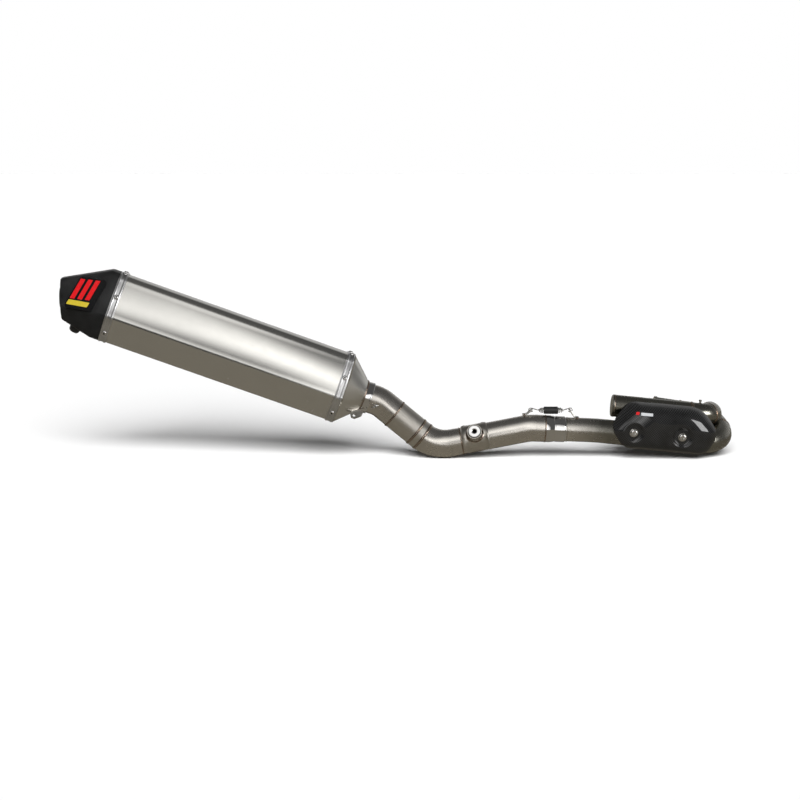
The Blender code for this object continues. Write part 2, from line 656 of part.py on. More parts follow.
def build_rivets(body):
    """Rivets along both bands: two on top, one on each side face, one on each lower face."""
    corners = [Vector((c[0], c[1])) for c in section_corners()]
    spots = [("top_near", corners[5], corners[0], 0.78), ("side_near", corners[0], corners[1], 0.52),
             ("low_near", corners[1], corners[2], 0.62), ("low_far", corners[3], corners[4], 0.38),
             ("side_far", corners[4], corners[5], 0.48), ("top_far", corners[5], corners[0], 0.22)]
    for end, along in (("inlet", SHELL_START + 7.2), ("outlet", SHELL_END - 7.2)):
        for label, a, b, fraction in spots:
            edge = (b - a).normalized()
            normal = Vector((-edge.y, edge.x))
            point = a.lerp(b, fraction) + normal * (BAND_THICK + 2 * GAP)
            seat = MUFFLER_FRAME @ frame_along(Vector((along, point.x, point.y)),
                                               Vector((0, normal.x, normal.y)), Vector((1, 0, 0)))
            dome = [(0.0, 3.3), (0.7, 3.2), (1.4, 2.3), (1.7, 0.9)]
            solid_turned("rivet_" + end + "_" + label, dome, aluminium(), body, seat, 12)


def build_lug(body):
    """Welded ear with a hole, standing out from the inlet cone on its lower near side."""
    angle = math.radians(-52.0)
    outward = Vector((0, math.cos(angle), math.sin(angle)))
    normal = Vector((0, -math.sin(angle), math.cos(angle)))
    outline = [(37.6, 10.0, 1.5), (45.5, 12.0, 3.0), (51.0, 9.0, 3.0), (51.0, 2.0, 3.0),
               (41.0, -6.0, 3.0), (32.0, -7.5, 2.0), (30.0, 1.0, 1.5)]
    plate = corner_points(outline, 0.0, 3)
    centre = Vector((44.5, 5.0))
    hole = [centre + (point - centre).normalized() * LUG_HOLE_R for point in plate]
    rings = [[Vector((p.y, 0, 0)) + outward * p.x + normal * h for p in line] for h, line in
             ((-1.5, plate), (1.5, plate), (1.5, hole), (-1.5, hole))]
    finish("inlet_lug", loop_surface(rings), steel(), body, MUFFLER_FRAME)


def build_link_hook(body):
    """Peg on the link pipe that faces the muffler's lug."""
    base = MUFFLER_FRAME @ Vector((-23.0, LINK_END_R + 1.9, -7.0))
    tip = MUFFLER_FRAME @ Vector((-17.0, LINK_END_R + 8.0, -11.0))
    hook("link_rear_hook", base, tip, body)


def main():
    clear_scene()
    header_body = empty("header_axis", Matrix.Identity(4))
    link_body = empty("link_slip_axis", Matrix.Translation(JOINT_POINT * MM), header_body)
    muffler_body = empty("muffler_twist_axis", Matrix.Translation(MUFFLER_POINT * MM), link_body)
    bpy.context.view_layer.update()
    far_bend, near_bend = build_header(header_body)
    build_chamber(header_body, far_bend, near_bend)
    build_shield(header_body)
    build_link(link_body)
    build_link_hook(link_body)
    build_spring(header_body, link_body)
    build_shell(muffler_body)
    build_inlet(muffler_body)
    build_outlet(muffler_body)
    build_rivets(muffler_body)
    build_lug(muffler_body)


main()
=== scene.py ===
"""Looks of the racing exhaust system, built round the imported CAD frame.

Lengths are in millimetres until a mesh is made; the frame and Blender are in metres.
"""
import json
import math

import bmesh
import bpy
from mathutils import Matrix, Vector


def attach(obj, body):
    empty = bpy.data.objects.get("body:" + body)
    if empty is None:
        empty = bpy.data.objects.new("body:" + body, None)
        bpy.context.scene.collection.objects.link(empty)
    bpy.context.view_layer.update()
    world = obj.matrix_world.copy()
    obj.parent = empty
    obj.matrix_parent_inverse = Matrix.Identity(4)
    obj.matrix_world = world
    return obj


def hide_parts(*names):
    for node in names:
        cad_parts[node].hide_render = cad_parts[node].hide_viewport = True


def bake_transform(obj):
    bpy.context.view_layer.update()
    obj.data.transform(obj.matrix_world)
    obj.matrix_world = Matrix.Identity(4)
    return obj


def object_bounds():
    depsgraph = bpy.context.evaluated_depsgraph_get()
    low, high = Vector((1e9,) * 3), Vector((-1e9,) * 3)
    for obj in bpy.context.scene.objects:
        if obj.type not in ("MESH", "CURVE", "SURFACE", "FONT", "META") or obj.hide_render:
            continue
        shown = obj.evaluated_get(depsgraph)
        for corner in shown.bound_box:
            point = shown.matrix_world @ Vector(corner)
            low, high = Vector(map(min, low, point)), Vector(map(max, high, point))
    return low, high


MM = 0.001
SIDES = 96

# ------------------------------------------------------------ frame and driving sizes
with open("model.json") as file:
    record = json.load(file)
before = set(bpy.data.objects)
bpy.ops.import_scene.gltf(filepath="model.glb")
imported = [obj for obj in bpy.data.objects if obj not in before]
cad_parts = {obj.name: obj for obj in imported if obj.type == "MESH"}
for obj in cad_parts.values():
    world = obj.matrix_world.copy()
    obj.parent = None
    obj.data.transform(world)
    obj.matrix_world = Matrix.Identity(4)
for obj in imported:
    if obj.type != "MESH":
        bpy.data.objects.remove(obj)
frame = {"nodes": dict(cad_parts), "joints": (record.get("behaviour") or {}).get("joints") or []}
cad_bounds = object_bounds()
JOINTS = {joint["name"]: joint for joint in frame["joints"]}

PORT_R, PORT_SWELL, HEADER_R, CHAMBER_R = 19.0, 1.3, 20.5, 19.0
SLEEVE_R, LINK_R, LINK_END_R = 22.0, 23.0, 25.0
WALL = 1.5
JOINT_POINT = Vector((-162.0, -112.0, -20.2))
JOINT_DIR = Vector(JOINTS["link_slip"]["axis"]).normalized()
MUFFLER_POINT = Vector(JOINTS["muffler_twist"]["pos_m"]) / MM
MUFFLER_DIR = Vector(JOINTS["muffler_twist"]["axis"]).normalized()
HEADER_NEAR_X, LINK_BEND_X = -112.0, -226.0
HEADER_CORNERS = [(Vector((5.3, 0.0, -0.7)), 0.0), (Vector((101.0, 0.0, -12.0)), 52.0),
                  (Vector((110.0, -112.0, -46.5)), 48.0)]
CHAMBER_CORNERS = [(Vector((-80.0, -87.0, 17.0)), 0.0), (Vector((90.0, -87.0, 0.0)), 28.0),
                   (Vector((91.0, -50.0, 0.0)), 0.0)]
CHAMBER_TAIL = Vector((83.0, -15.0, -13.0))
LINK_ELBOW = Vector((-388.0, -112.0, -49.5))
LINK_ENTRY, LINK_INSERTION = 30.0, 22.0
SLEEVE_START, SLEEVE_END, SPIGOT_END = 4.0, 37.5, 34.0

SECTION = [(29.0, 60.0, 17.0), (55.0, -13.0, 12.0), (28.0, -56.0, 9.0),
           (-28.0, -56.0, 9.0), (-55.0, -13.0, 12.0), (-29.0, 60.0, 17.0)]
CROWN = (3.0, 0.5, 0.5, 0.5, 3.0, 1.0)     # how far each flat of the section bulges
CORNER_STEPS, SECTION_FILL = 10, 12
SHELL_START, SHELL_END = 37.0, 451.0
BAND_WIDTH, SHELL_WALL = 14.0, 1.4
CAP_CREST, CAP_WALL = 465.0, 2.2
CAP_END = Vector((530.0, 0.0, -13.0))
CAP_END_SCALE = (0.64, 0.585)
CAP_END_TILT = math.atan2(-0.343, 0.94)
OUTLET_R, OUTLET_PROUD, OUTLET_LENGTH = 17.8, 2.6, 52.0

SPRING_Z, SPRING_R, WIRE_R = 12.6, 3.9, 0.8
SPRING_LEFT, SPRING_RIGHT, SPRING_TURNS = -211.0, -169.0, 16
EYE_LEFT, EYE_RIGHT = -223.0, -158.0

SHIELD_CORNERS = [(-92.0, -11.0, 26.0), (-56.0, 28.5, 26.0), (68.0, 17.0, 42.0),
                  (94.0, -26.0, 28.0), (72.0, -62.5, 26.0), (-68.0, -48.5, 26.0)]
SHIELD_CENTRE = (2.0, -19.0)
SHIELD_CROWN_Y, SHIELD_TOP_Y, SHIELD_LOW_Y = -147.0, -107.5, -131.0
SHIELD_REAR_Y, SHIELD_FRONT_Y, SHIELD_THICK = -137.0, -128.0, 1.6
SHIELD_BOLTS = {"rear": (-52.0, -21.5), "front": (30.0, -29.2)}
DISH_R, SEAT_R, SEAT_Y = 18.0, 12.0, -142.6

HANGER_X, HANGER_TILT, HANGER_HALF, HANGER_FACE = -318.0, math.radians(26.0), 23.0, 44.0
CUP_R, RUBBER_R, BUSH_R, BUSH_HOLE_R = 12.4, 11.0, 8.6, 4.0


# ------------------------------------------------------------ shape helpers
def circle(radius, sides=SIDES):
    return [(radius * math.cos(2 * math.pi * i / sides), radius * math.sin(2 * math.pi * i / sides))
            for i in range(sides)]


def frame_along(origin, direction, up=Vector((0, 0, 1))):
    x = direction.normalized()
    z = (up - x * up.dot(x)).normalized()
    rotation = Matrix((x, z.cross(x), z)).transposed().to_4x4()
    return Matrix.Translation(origin) @ rotation


MUFFLER_FRAME = frame_along(MUFFLER_POINT, MUFFLER_DIR)


def on_joint(distance):
    return JOINT_POINT + JOINT_DIR * distance


def joint_point_at(x):
    return on_joint((x - JOINT_POINT.x) / JOINT_DIR.x)


def on_muffler(distance):
    return MUFFLER_POINT + MUFFLER_DIR * distance


def rounded_path(corners, step_angle=math.radians(2.5)):
    """Points along a polyline whose inner corners become arcs of their own radius."""
    points = [corners[0][0]]
    for (before, _), (corner, radius), (after, _) in zip(corners, corners[1:], corners[2:]):
        to_before = (before - corner).normalized()
        to_after = (after - corner).normalized()
        inside = to_before.angle(to_after)
        sweep = math.pi - inside
        centre = corner + (to_before + to_after).normalized() * (radius / math.sin(inside / 2))
        start = corner + to_before * radius * math.tan(sweep / 2) - centre
        axis = (-to_before).cross(to_after).normalized()
        steps = max(2, math.ceil(sweep / step_angle))
        for i in range(steps + 1):
            points.append(centre + Matrix.Rotation(sweep * i / steps, 3, axis) @ start)
    points.append(corners[-1][0])
    return points


def lengths_along(points):
    lengths = [0.0]
    for a, b in zip(points, points[1:]):
        lengths.append(lengths[-1] + (b - a).length)
    return lengths


def path_frames(points):
    """A position, tangent and two crosswise directions at each point, free of twist."""
    tangents = []
    for i in range(len(points)):
        before, after = points[max(i - 1, 0)], points[min(i + 1, len(points) - 1)]
        if 0 < i < len(points) - 1:
            tangent = (points[i] - before).normalized() + (after - points[i]).normalized()
        else:
            tangent = after - before
        tangents.append(tangent.normalized())
    side = tangents[0].cross(Vector((0, 0, 1))).cross(tangents[0]).normalized()
    frames = []
    for point, tangent in zip(points, tangents):
        side = (side - tangent * side.dot(tangent)).normalized()
        frames.append((point, tangent, side, tangent.cross(side)))
    return frames


def split_where(points, value, pick):
    """Cut a path where one of its coordinates passes a value; both halves keep the cut."""
    for i, (a, b) in enumerate(zip(points, points[1:])):
        if (pick(a) - value) * (pick(b) - value) <= 0 and pick(a) != pick(b):
            cut = a.lerp(b, (value - pick(a)) / (pick(b) - pick(a)))
            return points[:i + 1] + [cut], [cut] + points[i + 1:]
    raise ValueError("the path does not reach that place")


def at_x(points, value):
    return split_where(points, value, lambda p: p.x)


def at_y(points, value):
    return split_where(points, value, lambda p: p.y)


def refined(points, spacing=6.0):
    """The path with more points on its long straight runs."""
    filled = []
    for a, b in zip(points, points[1:]):
        count = max(1, math.ceil((b - a).length / spacing))
        filled += [a.lerp(b, i / count) for i in range(count)]
    return filled + [points[-1]]


# ------------------------------------------------------------ mesh helpers
def add_piece(name, rings, material, body, replaced=(), place=None, closed=True, caps=False,
              sharp=40.0, uv=None, heat=None):
    """Make one piece from rings of points in millimetres and ride it on its body; a body given as a tuple
    leaves the piece where it is, on no body.

    uv gives (across, along) millimetres and heat 0..1 for a ring and point number."""
    mesh_data = bmesh.new()
    uv_layer = mesh_data.loops.layers.uv.new("UVMap")
    heat_layer = mesh_data.verts.layers.float.new("heat")
    placed = [[(place @ p if place else p) * MM for p in ring] for ring in rings]
    verts = [[mesh_data.verts.new(p) for p in ring] for ring in placed]
    if heat:
        for i, ring in enumerate(verts):
            for j, vert in enumerate(ring):
                vert[heat_layer] = heat(i, j)
    count = len(verts[0])
    if uv is None:
        along = [0.0]
        for a, b in zip(rings, rings[1:] + rings[:1]):
            along.append(along[-1] + sum((q - p).length for p, q in zip(a, b)) / count)
        across = [0.0]
        widest = max(rings, key=lambda r: sum((q - p).length for p, q in zip(r, r[1:])))
        for p, q in zip(widest, widest[1:] + widest[:1]):
            across.append(across[-1] + (q - p).length)

        def uv(i, j):
            return across[j], along[i]
    last = len(verts) if closed else len(verts) - 1
    for i in range(last):
        ring, following = verts[i], verts[(i + 1) % len(verts)]
        for j in range(count):
            k = (j + 1) % count
            face = mesh_data.faces.new((ring[j], ring[k], following[k], following[j]))
            face.smooth = True
            corners = ((i, j), (i, j + 1), (i + 1, j + 1), (i + 1, j))
            for loop, (a, b) in zip(face.loops, corners):
                u, v = uv(a, b)
                loop[uv_layer].uv = (u * MM, v * MM)
    if caps:
        for ring in (verts[0], verts[-1]):
            face = mesh_data.faces.new(ring)
            centre = sum((v.co for v in ring), Vector()) / count
            for loop in face.loops:
                offset = loop.vert.co - centre
                loop[uv_layer].uv = (offset.y + offset.x, offset.z)
    bmesh.ops.recalc_face_normals(mesh_data, faces=mesh_data.faces)
    mesh = bpy.data.meshes.new(name)
    mesh_data.to_mesh(mesh)
    mesh_data.free()
    mesh.set_sharp_from_angle(angle=math.radians(sharp))
    piece = bpy.data.objects.new(name, mesh)
    bpy.context.collection.objects.link(piece)
    piece.data.materials.append(material)
    if isinstance(body, tuple):
        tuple(body[2])
        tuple(body[3])
        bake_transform(piece)
    else:
        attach(piece, body)
    if replaced:
        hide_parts(*replaced)
    return piece


def spun(profile, sides=SIDES):
    """Rings round local X, one for each (along, radius)."""
    return [[Vector((s, a, b)) for a, b in circle(r, sides)] for s, r in profile]


def turned(name, profile, material, body, place, sides=SIDES, replaced=(), sharp=35.0):
    """A ring turned round local X; its profile is a closed loop."""
    return add_piece(name, spun(profile, sides), material, body, replaced, place, sharp=sharp)


def turned_solid(name, profile, material, body, place, sides=48, replaced=(), sharp=35.0):
    return add_piece(name, spun(profile, sides), material, body, replaced, place, closed=False,
                     caps=True, sharp=sharp)


def heat_near(distance, reach=9.0):
    return math.exp(-(distance / reach) ** 2)


def pipe(name, points, radii, material, body, replaced=(), hot_start=True, hot_end=True, wall=WALL):
    """A thin-walled pipe whose heat value is high next to its welded ends."""
    points = refined(points)
    lengths = lengths_along(points)
    total = lengths[-1]
    spread = [radii[0] + (radii[-1] - radii[0]) * s / total for s in lengths]
    frames = path_frames(points)

    def skin(depth):
        return [[p + s * ((r - depth) * c) + o * ((r - depth) * q) for c, q in circle(1.0)]
                for (p, _, s, o), r in zip(frames, spread)]

    outer, inner = skin(0.0), skin(wall)[::-1]
    count = len(outer)

    def place_of(i):
        i = i % (2 * count)
        return lengths[i] if i < count else lengths[2 * count - 1 - i]

    def uv(i, j):
        return j * 2 * math.pi * spread[0] / SIDES, place_of(i) if i < 2 * count else 0.0

    def heat(i, j):
        s = place_of(i)
        return max(heat_near(s) if hot_start else 0.0, heat_near(total - s) if hot_end else 0.0)

    return add_piece(name, outer + inner, material, body, replaced, uv=uv, heat=heat)


def weld_bead(name, place, radius, body, width=5.0, height=1.15, ripples=46):
    """A run of overlapping weld ripples round local X."""
    steps = ripples * 6
    profile = [(-1.0, -0.35), (-0.8, 0.35), (-0.4, 0.85), (0.0, 1.0), (0.4, 0.85), (0.8, 0.35),
               (1.0, -0.35)]
    rings = []
    for i in range(steps):
        angle = 2 * math.pi * i / steps
        phase = (i % 6) / 6
        lift = 0.72 + 0.28 * math.sin(math.pi * phase)
        ring = []
        for a, b in profile:
            lag = 0.9 * (1 - a * a)
            turn = angle - lag * 2 * math.pi / ripples * 0.5
            r = radius + height * b * (lift if b > 0 else 1.0)
            ring.append(Vector((a * width / 2, r * math.cos(turn), r * math.sin(turn))))
        rings.append(ring)
    return add_piece(name, rings, weld_metal(), body, place=place, sharp=60.0,
                     uv=lambda i, j: (i * 2 * math.pi * radius / steps, j * 1.0))


# ------------------------------------------------------------ node helpers
class Graph:
    """A short way to add and link shader nodes."""

    def __init__(self, holder):
        holder.use_nodes = True
        self.tree = holder.node_tree

    def plug(self, socket, value):
        if isinstance(value, bpy.types.NodeSocket):
            self.tree.links.new(value, socket)
        else:
            socket.default_value = value

    def node(self, kind, inputs=(), **settings):
        made = self.tree.nodes.new(kind)
        for key, value in settings.items():
            setattr(made, key, value)
        for key, value in dict(inputs).items():
            self.plug(made.inputs[key], value)
        return made

    def ramp(self, factor, stops):
        made = self.node("ShaderNodeValToRGB", {"Fac": factor})
        ramp = made.color_ramp
        ramp.elements[0].position, ramp.elements[0].color = stops[0][0], (*stops[0][1], 1.0)
        ramp.elements[1].position, ramp.elements[1].color = stops[-1][0], (*stops[-1][1], 1.0)
        for position, colour in stops[1:-1]:
            ramp.elements.new(position).color = (*colour, 1.0)
        return made.outputs["Color"]


class Nodes(Graph):
    """Nodes of one material, round its own shader."""

    def __init__(self, name):
        self.material = bpy.data.materials.new(name)
        super().__init__(self.material)
        self.shader = self.tree.nodes["Principled BSDF"]

    def set(self, **values):
        for key, value in values.items():
            self.shader.inputs[key.replace("_", " ")].default_value = value

    def link(self, source, socket):
        self.tree.links.new(source, self.shader.inputs[socket])

    def math(self, operation, a, b=0.0, c=0.0):
        return self.node("ShaderNodeMath", {0: a, 1: b, 2: c}, operation=operation).outputs[0]

    def mix(self, factor, a, b):
        made = self.node("ShaderNodeMix", data_type="RGBA")
        for index, value in ((0, factor), (6, a), (7, b)):
            self.plug(made.inputs[index], value)
        return made.outputs[2]

    def noise(self, vector, scale, detail=3.0, roughness=0.55):
        return self.node("ShaderNodeTexNoise", {"Vector": vector, "Scale": scale, "Detail": detail,
                                                "Roughness": roughness}).outputs["Fac"]

    def uv(self):
        return self.node("ShaderNodeUVMap", uv_map="UVMap").outputs["UV"]

    def object_place(self):
        return self.node("ShaderNodeTexCoord").outputs["Object"]

    def stretched(self, vector, scale):
        return self.node("ShaderNodeMapping", {"Vector": vector, "Scale": scale}).outputs["Vector"]

    def span(self, value, low, high, to_low, to_high):
        return self.node("ShaderNodeMapRange", {"Value": value, "From Min": low, "From Max": high,
                                                "To Min": to_low, "To Max": to_high}).outputs["Result"]

    def bump(self, height, distance, strength=1.0):
        inputs = {"Height": height, "Distance": distance, "Strength": strength}
        return self.node("ShaderNodeBump", inputs).outputs["Normal"]


LOOKS = {}


def look(name):
    """Each material is made once, by the function of its name."""
    def wrap(make):
        def get():
            if name not in LOOKS:
                LOOKS[name] = make(Nodes(name))
            return LOOKS[name]
        return get
    return wrap


def plain_look(name, make, *values, **options):
    return look(name)(lambda nodes: make(nodes, *values, **options))


def metal(nodes, colour, rough_low, rough_high, streak=(260.0, 6.0, 1.0), streak_depth=0.0000012,
          tint=0.0,
          cloud=0.05, sooted=0.0):
    """Satin metal with fine drawn streaks, soft clouding, optional heat colours and an optional painted
    shade that darkens it towards the engine port.
    """
    uv = nodes.uv()
    place = nodes.object_place()
    streaks = nodes.noise(nodes.stretched(uv, streak), 1.0, 4.0, 0.6)
    clouds = nodes.noise(place, 26.0, 4.0, 0.6)
    smudge = nodes.noise(place, 90.0, 3.0, 0.6)
    dark = tuple(c * (1 - 2 * cloud) for c in colour)
    base = nodes.ramp(clouds, [(0.3, dark), (0.7, colour)])
    if tint:
        heat = nodes.node("ShaderNodeAttribute", attribute_name="heat").outputs["Fac"]
        broken = nodes.math("MULTIPLY_ADD", nodes.math("SUBTRACT", smudge, 0.5), 0.5, heat)
        heat_colour = nodes.ramp(broken, [(0.2, (0.62, 0.59, 0.53)), (0.5, (0.60, 0.46, 0.26)),
                                          (0.72, (0.42, 0.25, 0.15)), (0.86, (0.30, 0.22, 0.26)),
                                          (1.0, (0.34, 0.36, 0.42))])
        share = nodes.math("MULTIPLY", nodes.span(broken, 0.22, 0.75, 0.0, 1.0), tint)
        base = nodes.mix(share, base, heat_colour)
    # Painted shade: the colour darkens to a grey-brown forward of x -0.095 m, fading out by x -0.150 m,
    # standing in for the shade by the heat shield.
    if sooted:
        x = nodes.node("ShaderNodeSeparateXYZ", {0: place}).outputs[0]
        soot = nodes.span(nodes.math("MULTIPLY_ADD", nodes.math("SUBTRACT", clouds, 0.5), 0.06, x),
                          -0.150, -0.095,
                          0.0, sooted)
        base = nodes.mix(soot, base, (0.20, 0.195, 0.165, 1.0))
    blended = nodes.math("ADD", nodes.math("MULTIPLY", streaks, 0.5), nodes.math("MULTIPLY", smudge, 0.5))
    nodes.set(Metallic=1.0)
    nodes.link(base, "Base Color")
    nodes.link(nodes.span(blended, 0.3, 0.7, rough_low, rough_high), "Roughness")
    nodes.link(nodes.bump(streaks, streak_depth), "Normal")
    return nodes.material


# titanium_tube carries the painted shade that darkens it towards the engine port.
titanium_tube = plain_look("titanium_tube", metal, (0.64, 0.61, 0.565), 0.22, 0.30, tint=0.85,
                           sooted=0.85)
titanium_brushed = plain_look("titanium_brushed", metal, (0.62, 0.59, 0.54), 0.34, 0.46, tint=0.85,
                              streak_depth=0.000003)
titanium_sheet = plain_look("titanium_sheet", metal, (0.66, 0.65, 0.62), 0.22, 0.28,
                            streak=(1100.0, 9.0, 1.0), cloud=0.02)
titanium_worn = plain_look("titanium_worn", metal, (0.60, 0.57, 0.52), 0.24, 0.42,
                           streak=(60.0, 200.0, 1.0), tint=0.7, cloud=0.12)
bright_steel = plain_look("bright_steel", metal, (0.74, 0.73, 0.71), 0.14, 0.24,
                          streak=(900.0, 30.0, 1.0))
band_steel = plain_look("band_steel", metal, (0.66, 0.66, 0.665), 0.24, 0.42,
                        streak=(30.0, 500.0, 1.0), cloud=0.12)
polished_steel = plain_look("polished_steel", metal, (0.72, 0.71, 0.70), 0.05, 0.10,
                            streak=(20.0, 900.0, 1.0), streak_depth=0.0000006)
wire_steel = plain_look("wire_steel", metal, (0.60, 0.59, 0.57), 0.14, 0.24, streak=(400.0, 400.0, 1.0))
turned_aluminium = plain_look("turned_aluminium", metal, (0.93, 0.93, 0.925), 0.28, 0.42,
                              streak=(20.0, 1500.0, 1.0))
@look("weld_metal")
def weld_metal(nodes):
    """Beads with brown heat-stained edges and a paler, greyer crest."""
    place = nodes.object_place()
    patches = nodes.noise(place, 140.0, 3.0, 0.6)
    fine = nodes.noise(place, 900.0, 3.0, 0.6)
    across = nodes.math("DIVIDE", nodes.node("ShaderNodeSeparateXYZ", {0: nodes.uv()}).outputs[1], 0.006)
    stain = nodes.ramp(across, [(0.0, (0.17, 0.10, 0.06)), (0.25, (0.30, 0.19, 0.10)),
                                (0.5, (0.52, 0.47, 0.40)),
                                (0.75, (0.30, 0.19, 0.10)), (1.0, (0.17, 0.10, 0.06))])
    colour = nodes.mix(nodes.span(patches, 0.35, 0.7, 0.0, 0.75), stain, (0.24, 0.20, 0.20, 1.0))
    nodes.set(Metallic=1.0)
    nodes.link(colour, "Base Color")
    nodes.link(nodes.span(fine, 0.3, 0.7, 0.16, 0.30), "Roughness")
    nodes.link(nodes.bump(fine, 0.00001), "Normal")
    return nodes.material


def carbon(nodes, tow, gloss, light):
    """Plain weave of flat carbon tows, from UVs in metres, under clear lacquer, with a painted sheen on
    the tows that pass over.
    """
    parts = nodes.node("ShaderNodeSeparateXYZ", {0: nodes.uv()}).outputs
    across = nodes.math("DIVIDE", parts[0], tow)
    along = nodes.math("DIVIDE", parts[1], tow)
    column, row = nodes.math("FLOOR", across), nodes.math("FLOOR", along)
    phase = nodes.math("FLOORED_MODULO", nodes.math("ADD", column, row), 2.0)
    over = nodes.math("LESS_THAN", phase, 0.5)

    def crown(value):
        middle = nodes.math("SUBTRACT", nodes.math("FRACT", value), 0.5)
        return nodes.math("SUBTRACT", 1.0,
                          nodes.math("MULTIPLY", nodes.math("MULTIPLY", middle, middle), 4.0))

    def fibres(value, scale):
        shifted = nodes.node("ShaderNodeCombineXYZ", {0: nodes.math("MULTIPLY", value, scale)}).outputs[0]
        return nodes.noise(shifted, 1.0, 2.0, 0.5)

    warp = nodes.math("MULTIPLY", over, crown(across))
    weft = nodes.math("MULTIPLY", nodes.math("SUBTRACT", 1.0, over), crown(along))
    height = nodes.math("ADD", warp, weft)
    # Painted sheen: the over tows get a brighter base colour than the near-black under tows, varied in
    # patches and darkening to each tow's edges; light sets its level.
    dull = nodes.ramp(fibres(along, 9.0), [(0.3, (0.0015, 0.0015, 0.0016)), (0.7, (0.005, 0.005, 0.005))])
    painted_tow_sheen = nodes.ramp(fibres(across, 9.0), [(0.3, tuple(light * 0.55 for _ in range(3))),
                                             (0.7, (light, light * 1.02, light * 1.04))])
    patches = nodes.span(nodes.noise(nodes.object_place(), 45.0, 3.0, 0.6), 0.3, 0.7, 0.25, 1.0)
    grain = nodes.mix(nodes.math("MULTIPLY", over, patches), dull, painted_tow_sheen)
    edge = nodes.span(height, 0.0, 0.45, 0.15, 1.0)
    colour = nodes.mix(edge, (0.001, 0.001, 0.001, 1.0), grain)
    nodes.link(colour, "Base Color")
    nodes.link(nodes.span(over, 0.0, 1.0, 0.38, 0.48), "Roughness")
    nodes.link(nodes.bump(height, 0.00006, 0.7), "Normal")
    waviness = nodes.noise(nodes.object_place(), 60.0, 2.0, 0.5)
    nodes.link(nodes.bump(waviness, 0.00010, 0.5), "Coat Normal")
    nodes.set(Coat_Weight=1.0 if gloss < 0.2 else 0.15, Coat_Roughness=gloss, Specular_IOR_Level=0.08)
    return nodes.material


gloss_carbon = plain_look("gloss_carbon", carbon, 0.0021, 0.03, 0.024)
satin_carbon = plain_look("satin_carbon", carbon, 0.0022, 0.24, 0.034)
def dark_solid(nodes, colour, rough, scale, depth):
    place = nodes.object_place()
    grain = nodes.noise(place, scale, 4.0, 0.6)
    light = tuple(min(1.0, c * 1.8 + 0.004) for c in colour)
    nodes.link(nodes.ramp(grain, [(0.3, colour), (0.75, light)]), "Base Color")
    nodes.link(nodes.span(grain, 0.3, 0.7, rough - 0.08, rough + 0.08), "Roughness")
    nodes.link(nodes.bump(grain, depth), "Normal")
    return nodes.material


black_rubber = plain_look("black_rubber", dark_solid, (0.006, 0.006, 0.006), 0.45, 700.0, 0.00004)
black_screw = plain_look("black_screw", dark_solid, (0.004, 0.004, 0.004), 0.35, 500.0, 0.00003)
glass_wool = plain_look("glass_wool", dark_solid, (0.42, 0.36, 0.18), 0.9, 300.0, 0.0008)
def enamel(nodes, colour, rough=0.22):
    """Printed enamel with a trace of orange peel and dust."""
    place = nodes.object_place()
    peel = nodes.noise(place, 500.0, 2.0, 0.5)
    deep = tuple(c * 0.86 for c in colour)
    nodes.link(nodes.ramp(peel, [(0.35, deep), (0.65, colour)]), "Base Color")
    nodes.link(nodes.span(peel, 0.3, 0.7, rough - 0.05, rough + 0.05), "Roughness")
    nodes.link(nodes.bump(peel, 0.00002), "Normal")
    return nodes.material


red_enamel = plain_look("red_enamel", enamel, (0.40, 0.004, 0.006))
yellow_enamel = plain_look("yellow_enamel", enamel, (0.36, 0.28, 0.02))
black_enamel = plain_look("black_enamel", enamel, (0.0015, 0.0015, 0.0017), 0.20)
silver_foil = plain_look("silver_foil", enamel, (0.34, 0.35, 0.36), 0.35)
# ------------------------------------------------------------ header
def bead_on(name, points, index, radius, body, **options):
    """A weld bead square to a path at one of its points."""
    before, after = points[max(index - 1, 0)], points[min(index + 1, len(points) - 1)]
    return weld_bead(name, frame_along(points[index], after - before), radius, body, **options)


def build_header():
    corners = HEADER_CORNERS + [(joint_point_at(HEADER_NEAR_X), 420.0), (on_joint(SPIGOT_END), 0.0)]
    path = rounded_path(corners)
    port_part, rest = at_x(path, 46.0)
    far_bend, rest = at_y(rest, -56.0)
    near_bend, rear = at_x(rest[1:], 40.0)
    near_bend = rest[:1] + near_bend
    ring = [(0.4, 16.2), (0.0, 16.6), (0.0, 20.9), (0.5, 21.4), (4.5, 21.4), (5.0, 20.9), (5.0, 16.2)]
    turned("port_ring_turned", ring, titanium_tube(), "header",
           frame_along(Vector((0, 0, 0)), HEADER_CORNERS[1][0]), replaced=("port_ring",))
    tube, spigot = at_x(rear, on_joint(SLEEVE_START - 1.2).x)
    for label, points, radii, node in (("port", port_part, (PORT_R + PORT_SWELL, PORT_R), "port_tube"),
                                       ("far_bend", far_bend, (PORT_R, HEADER_R), "far_bend"),
                                       ("near_bend", near_bend, (HEADER_R, HEADER_R), "near_bend"),
                                       ("rear", tube, (HEADER_R, HEADER_R), "tube")):
        pipe("header_%s_pipe" % label, points, radii, titanium_tube(), "header", ("header_" + node,))
    pipe("header_spigot", spigot, (HEADER_R, HEADER_R), polished_steel(), "header", (), False, False)
    lip = [(-1.0, HEADER_R - 0.2), (-0.6, HEADER_R + 0.75), (0.6, HEADER_R + 0.75), (1.0, HEADER_R - 0.2)]
    turned("header_end_lip", lip, titanium_worn(), "header",
           frame_along(on_joint(SLEEVE_START - 3.0), JOINT_DIR), sharp=60.0)
    bead_on("header_weld_port", far_bend, 0, PORT_R, "header")
    bead_on("header_weld_cross", near_bend, 0, HEADER_R, "header")
    bead_on("header_weld_near", near_bend, len(near_bend) - 1, HEADER_R, "header")


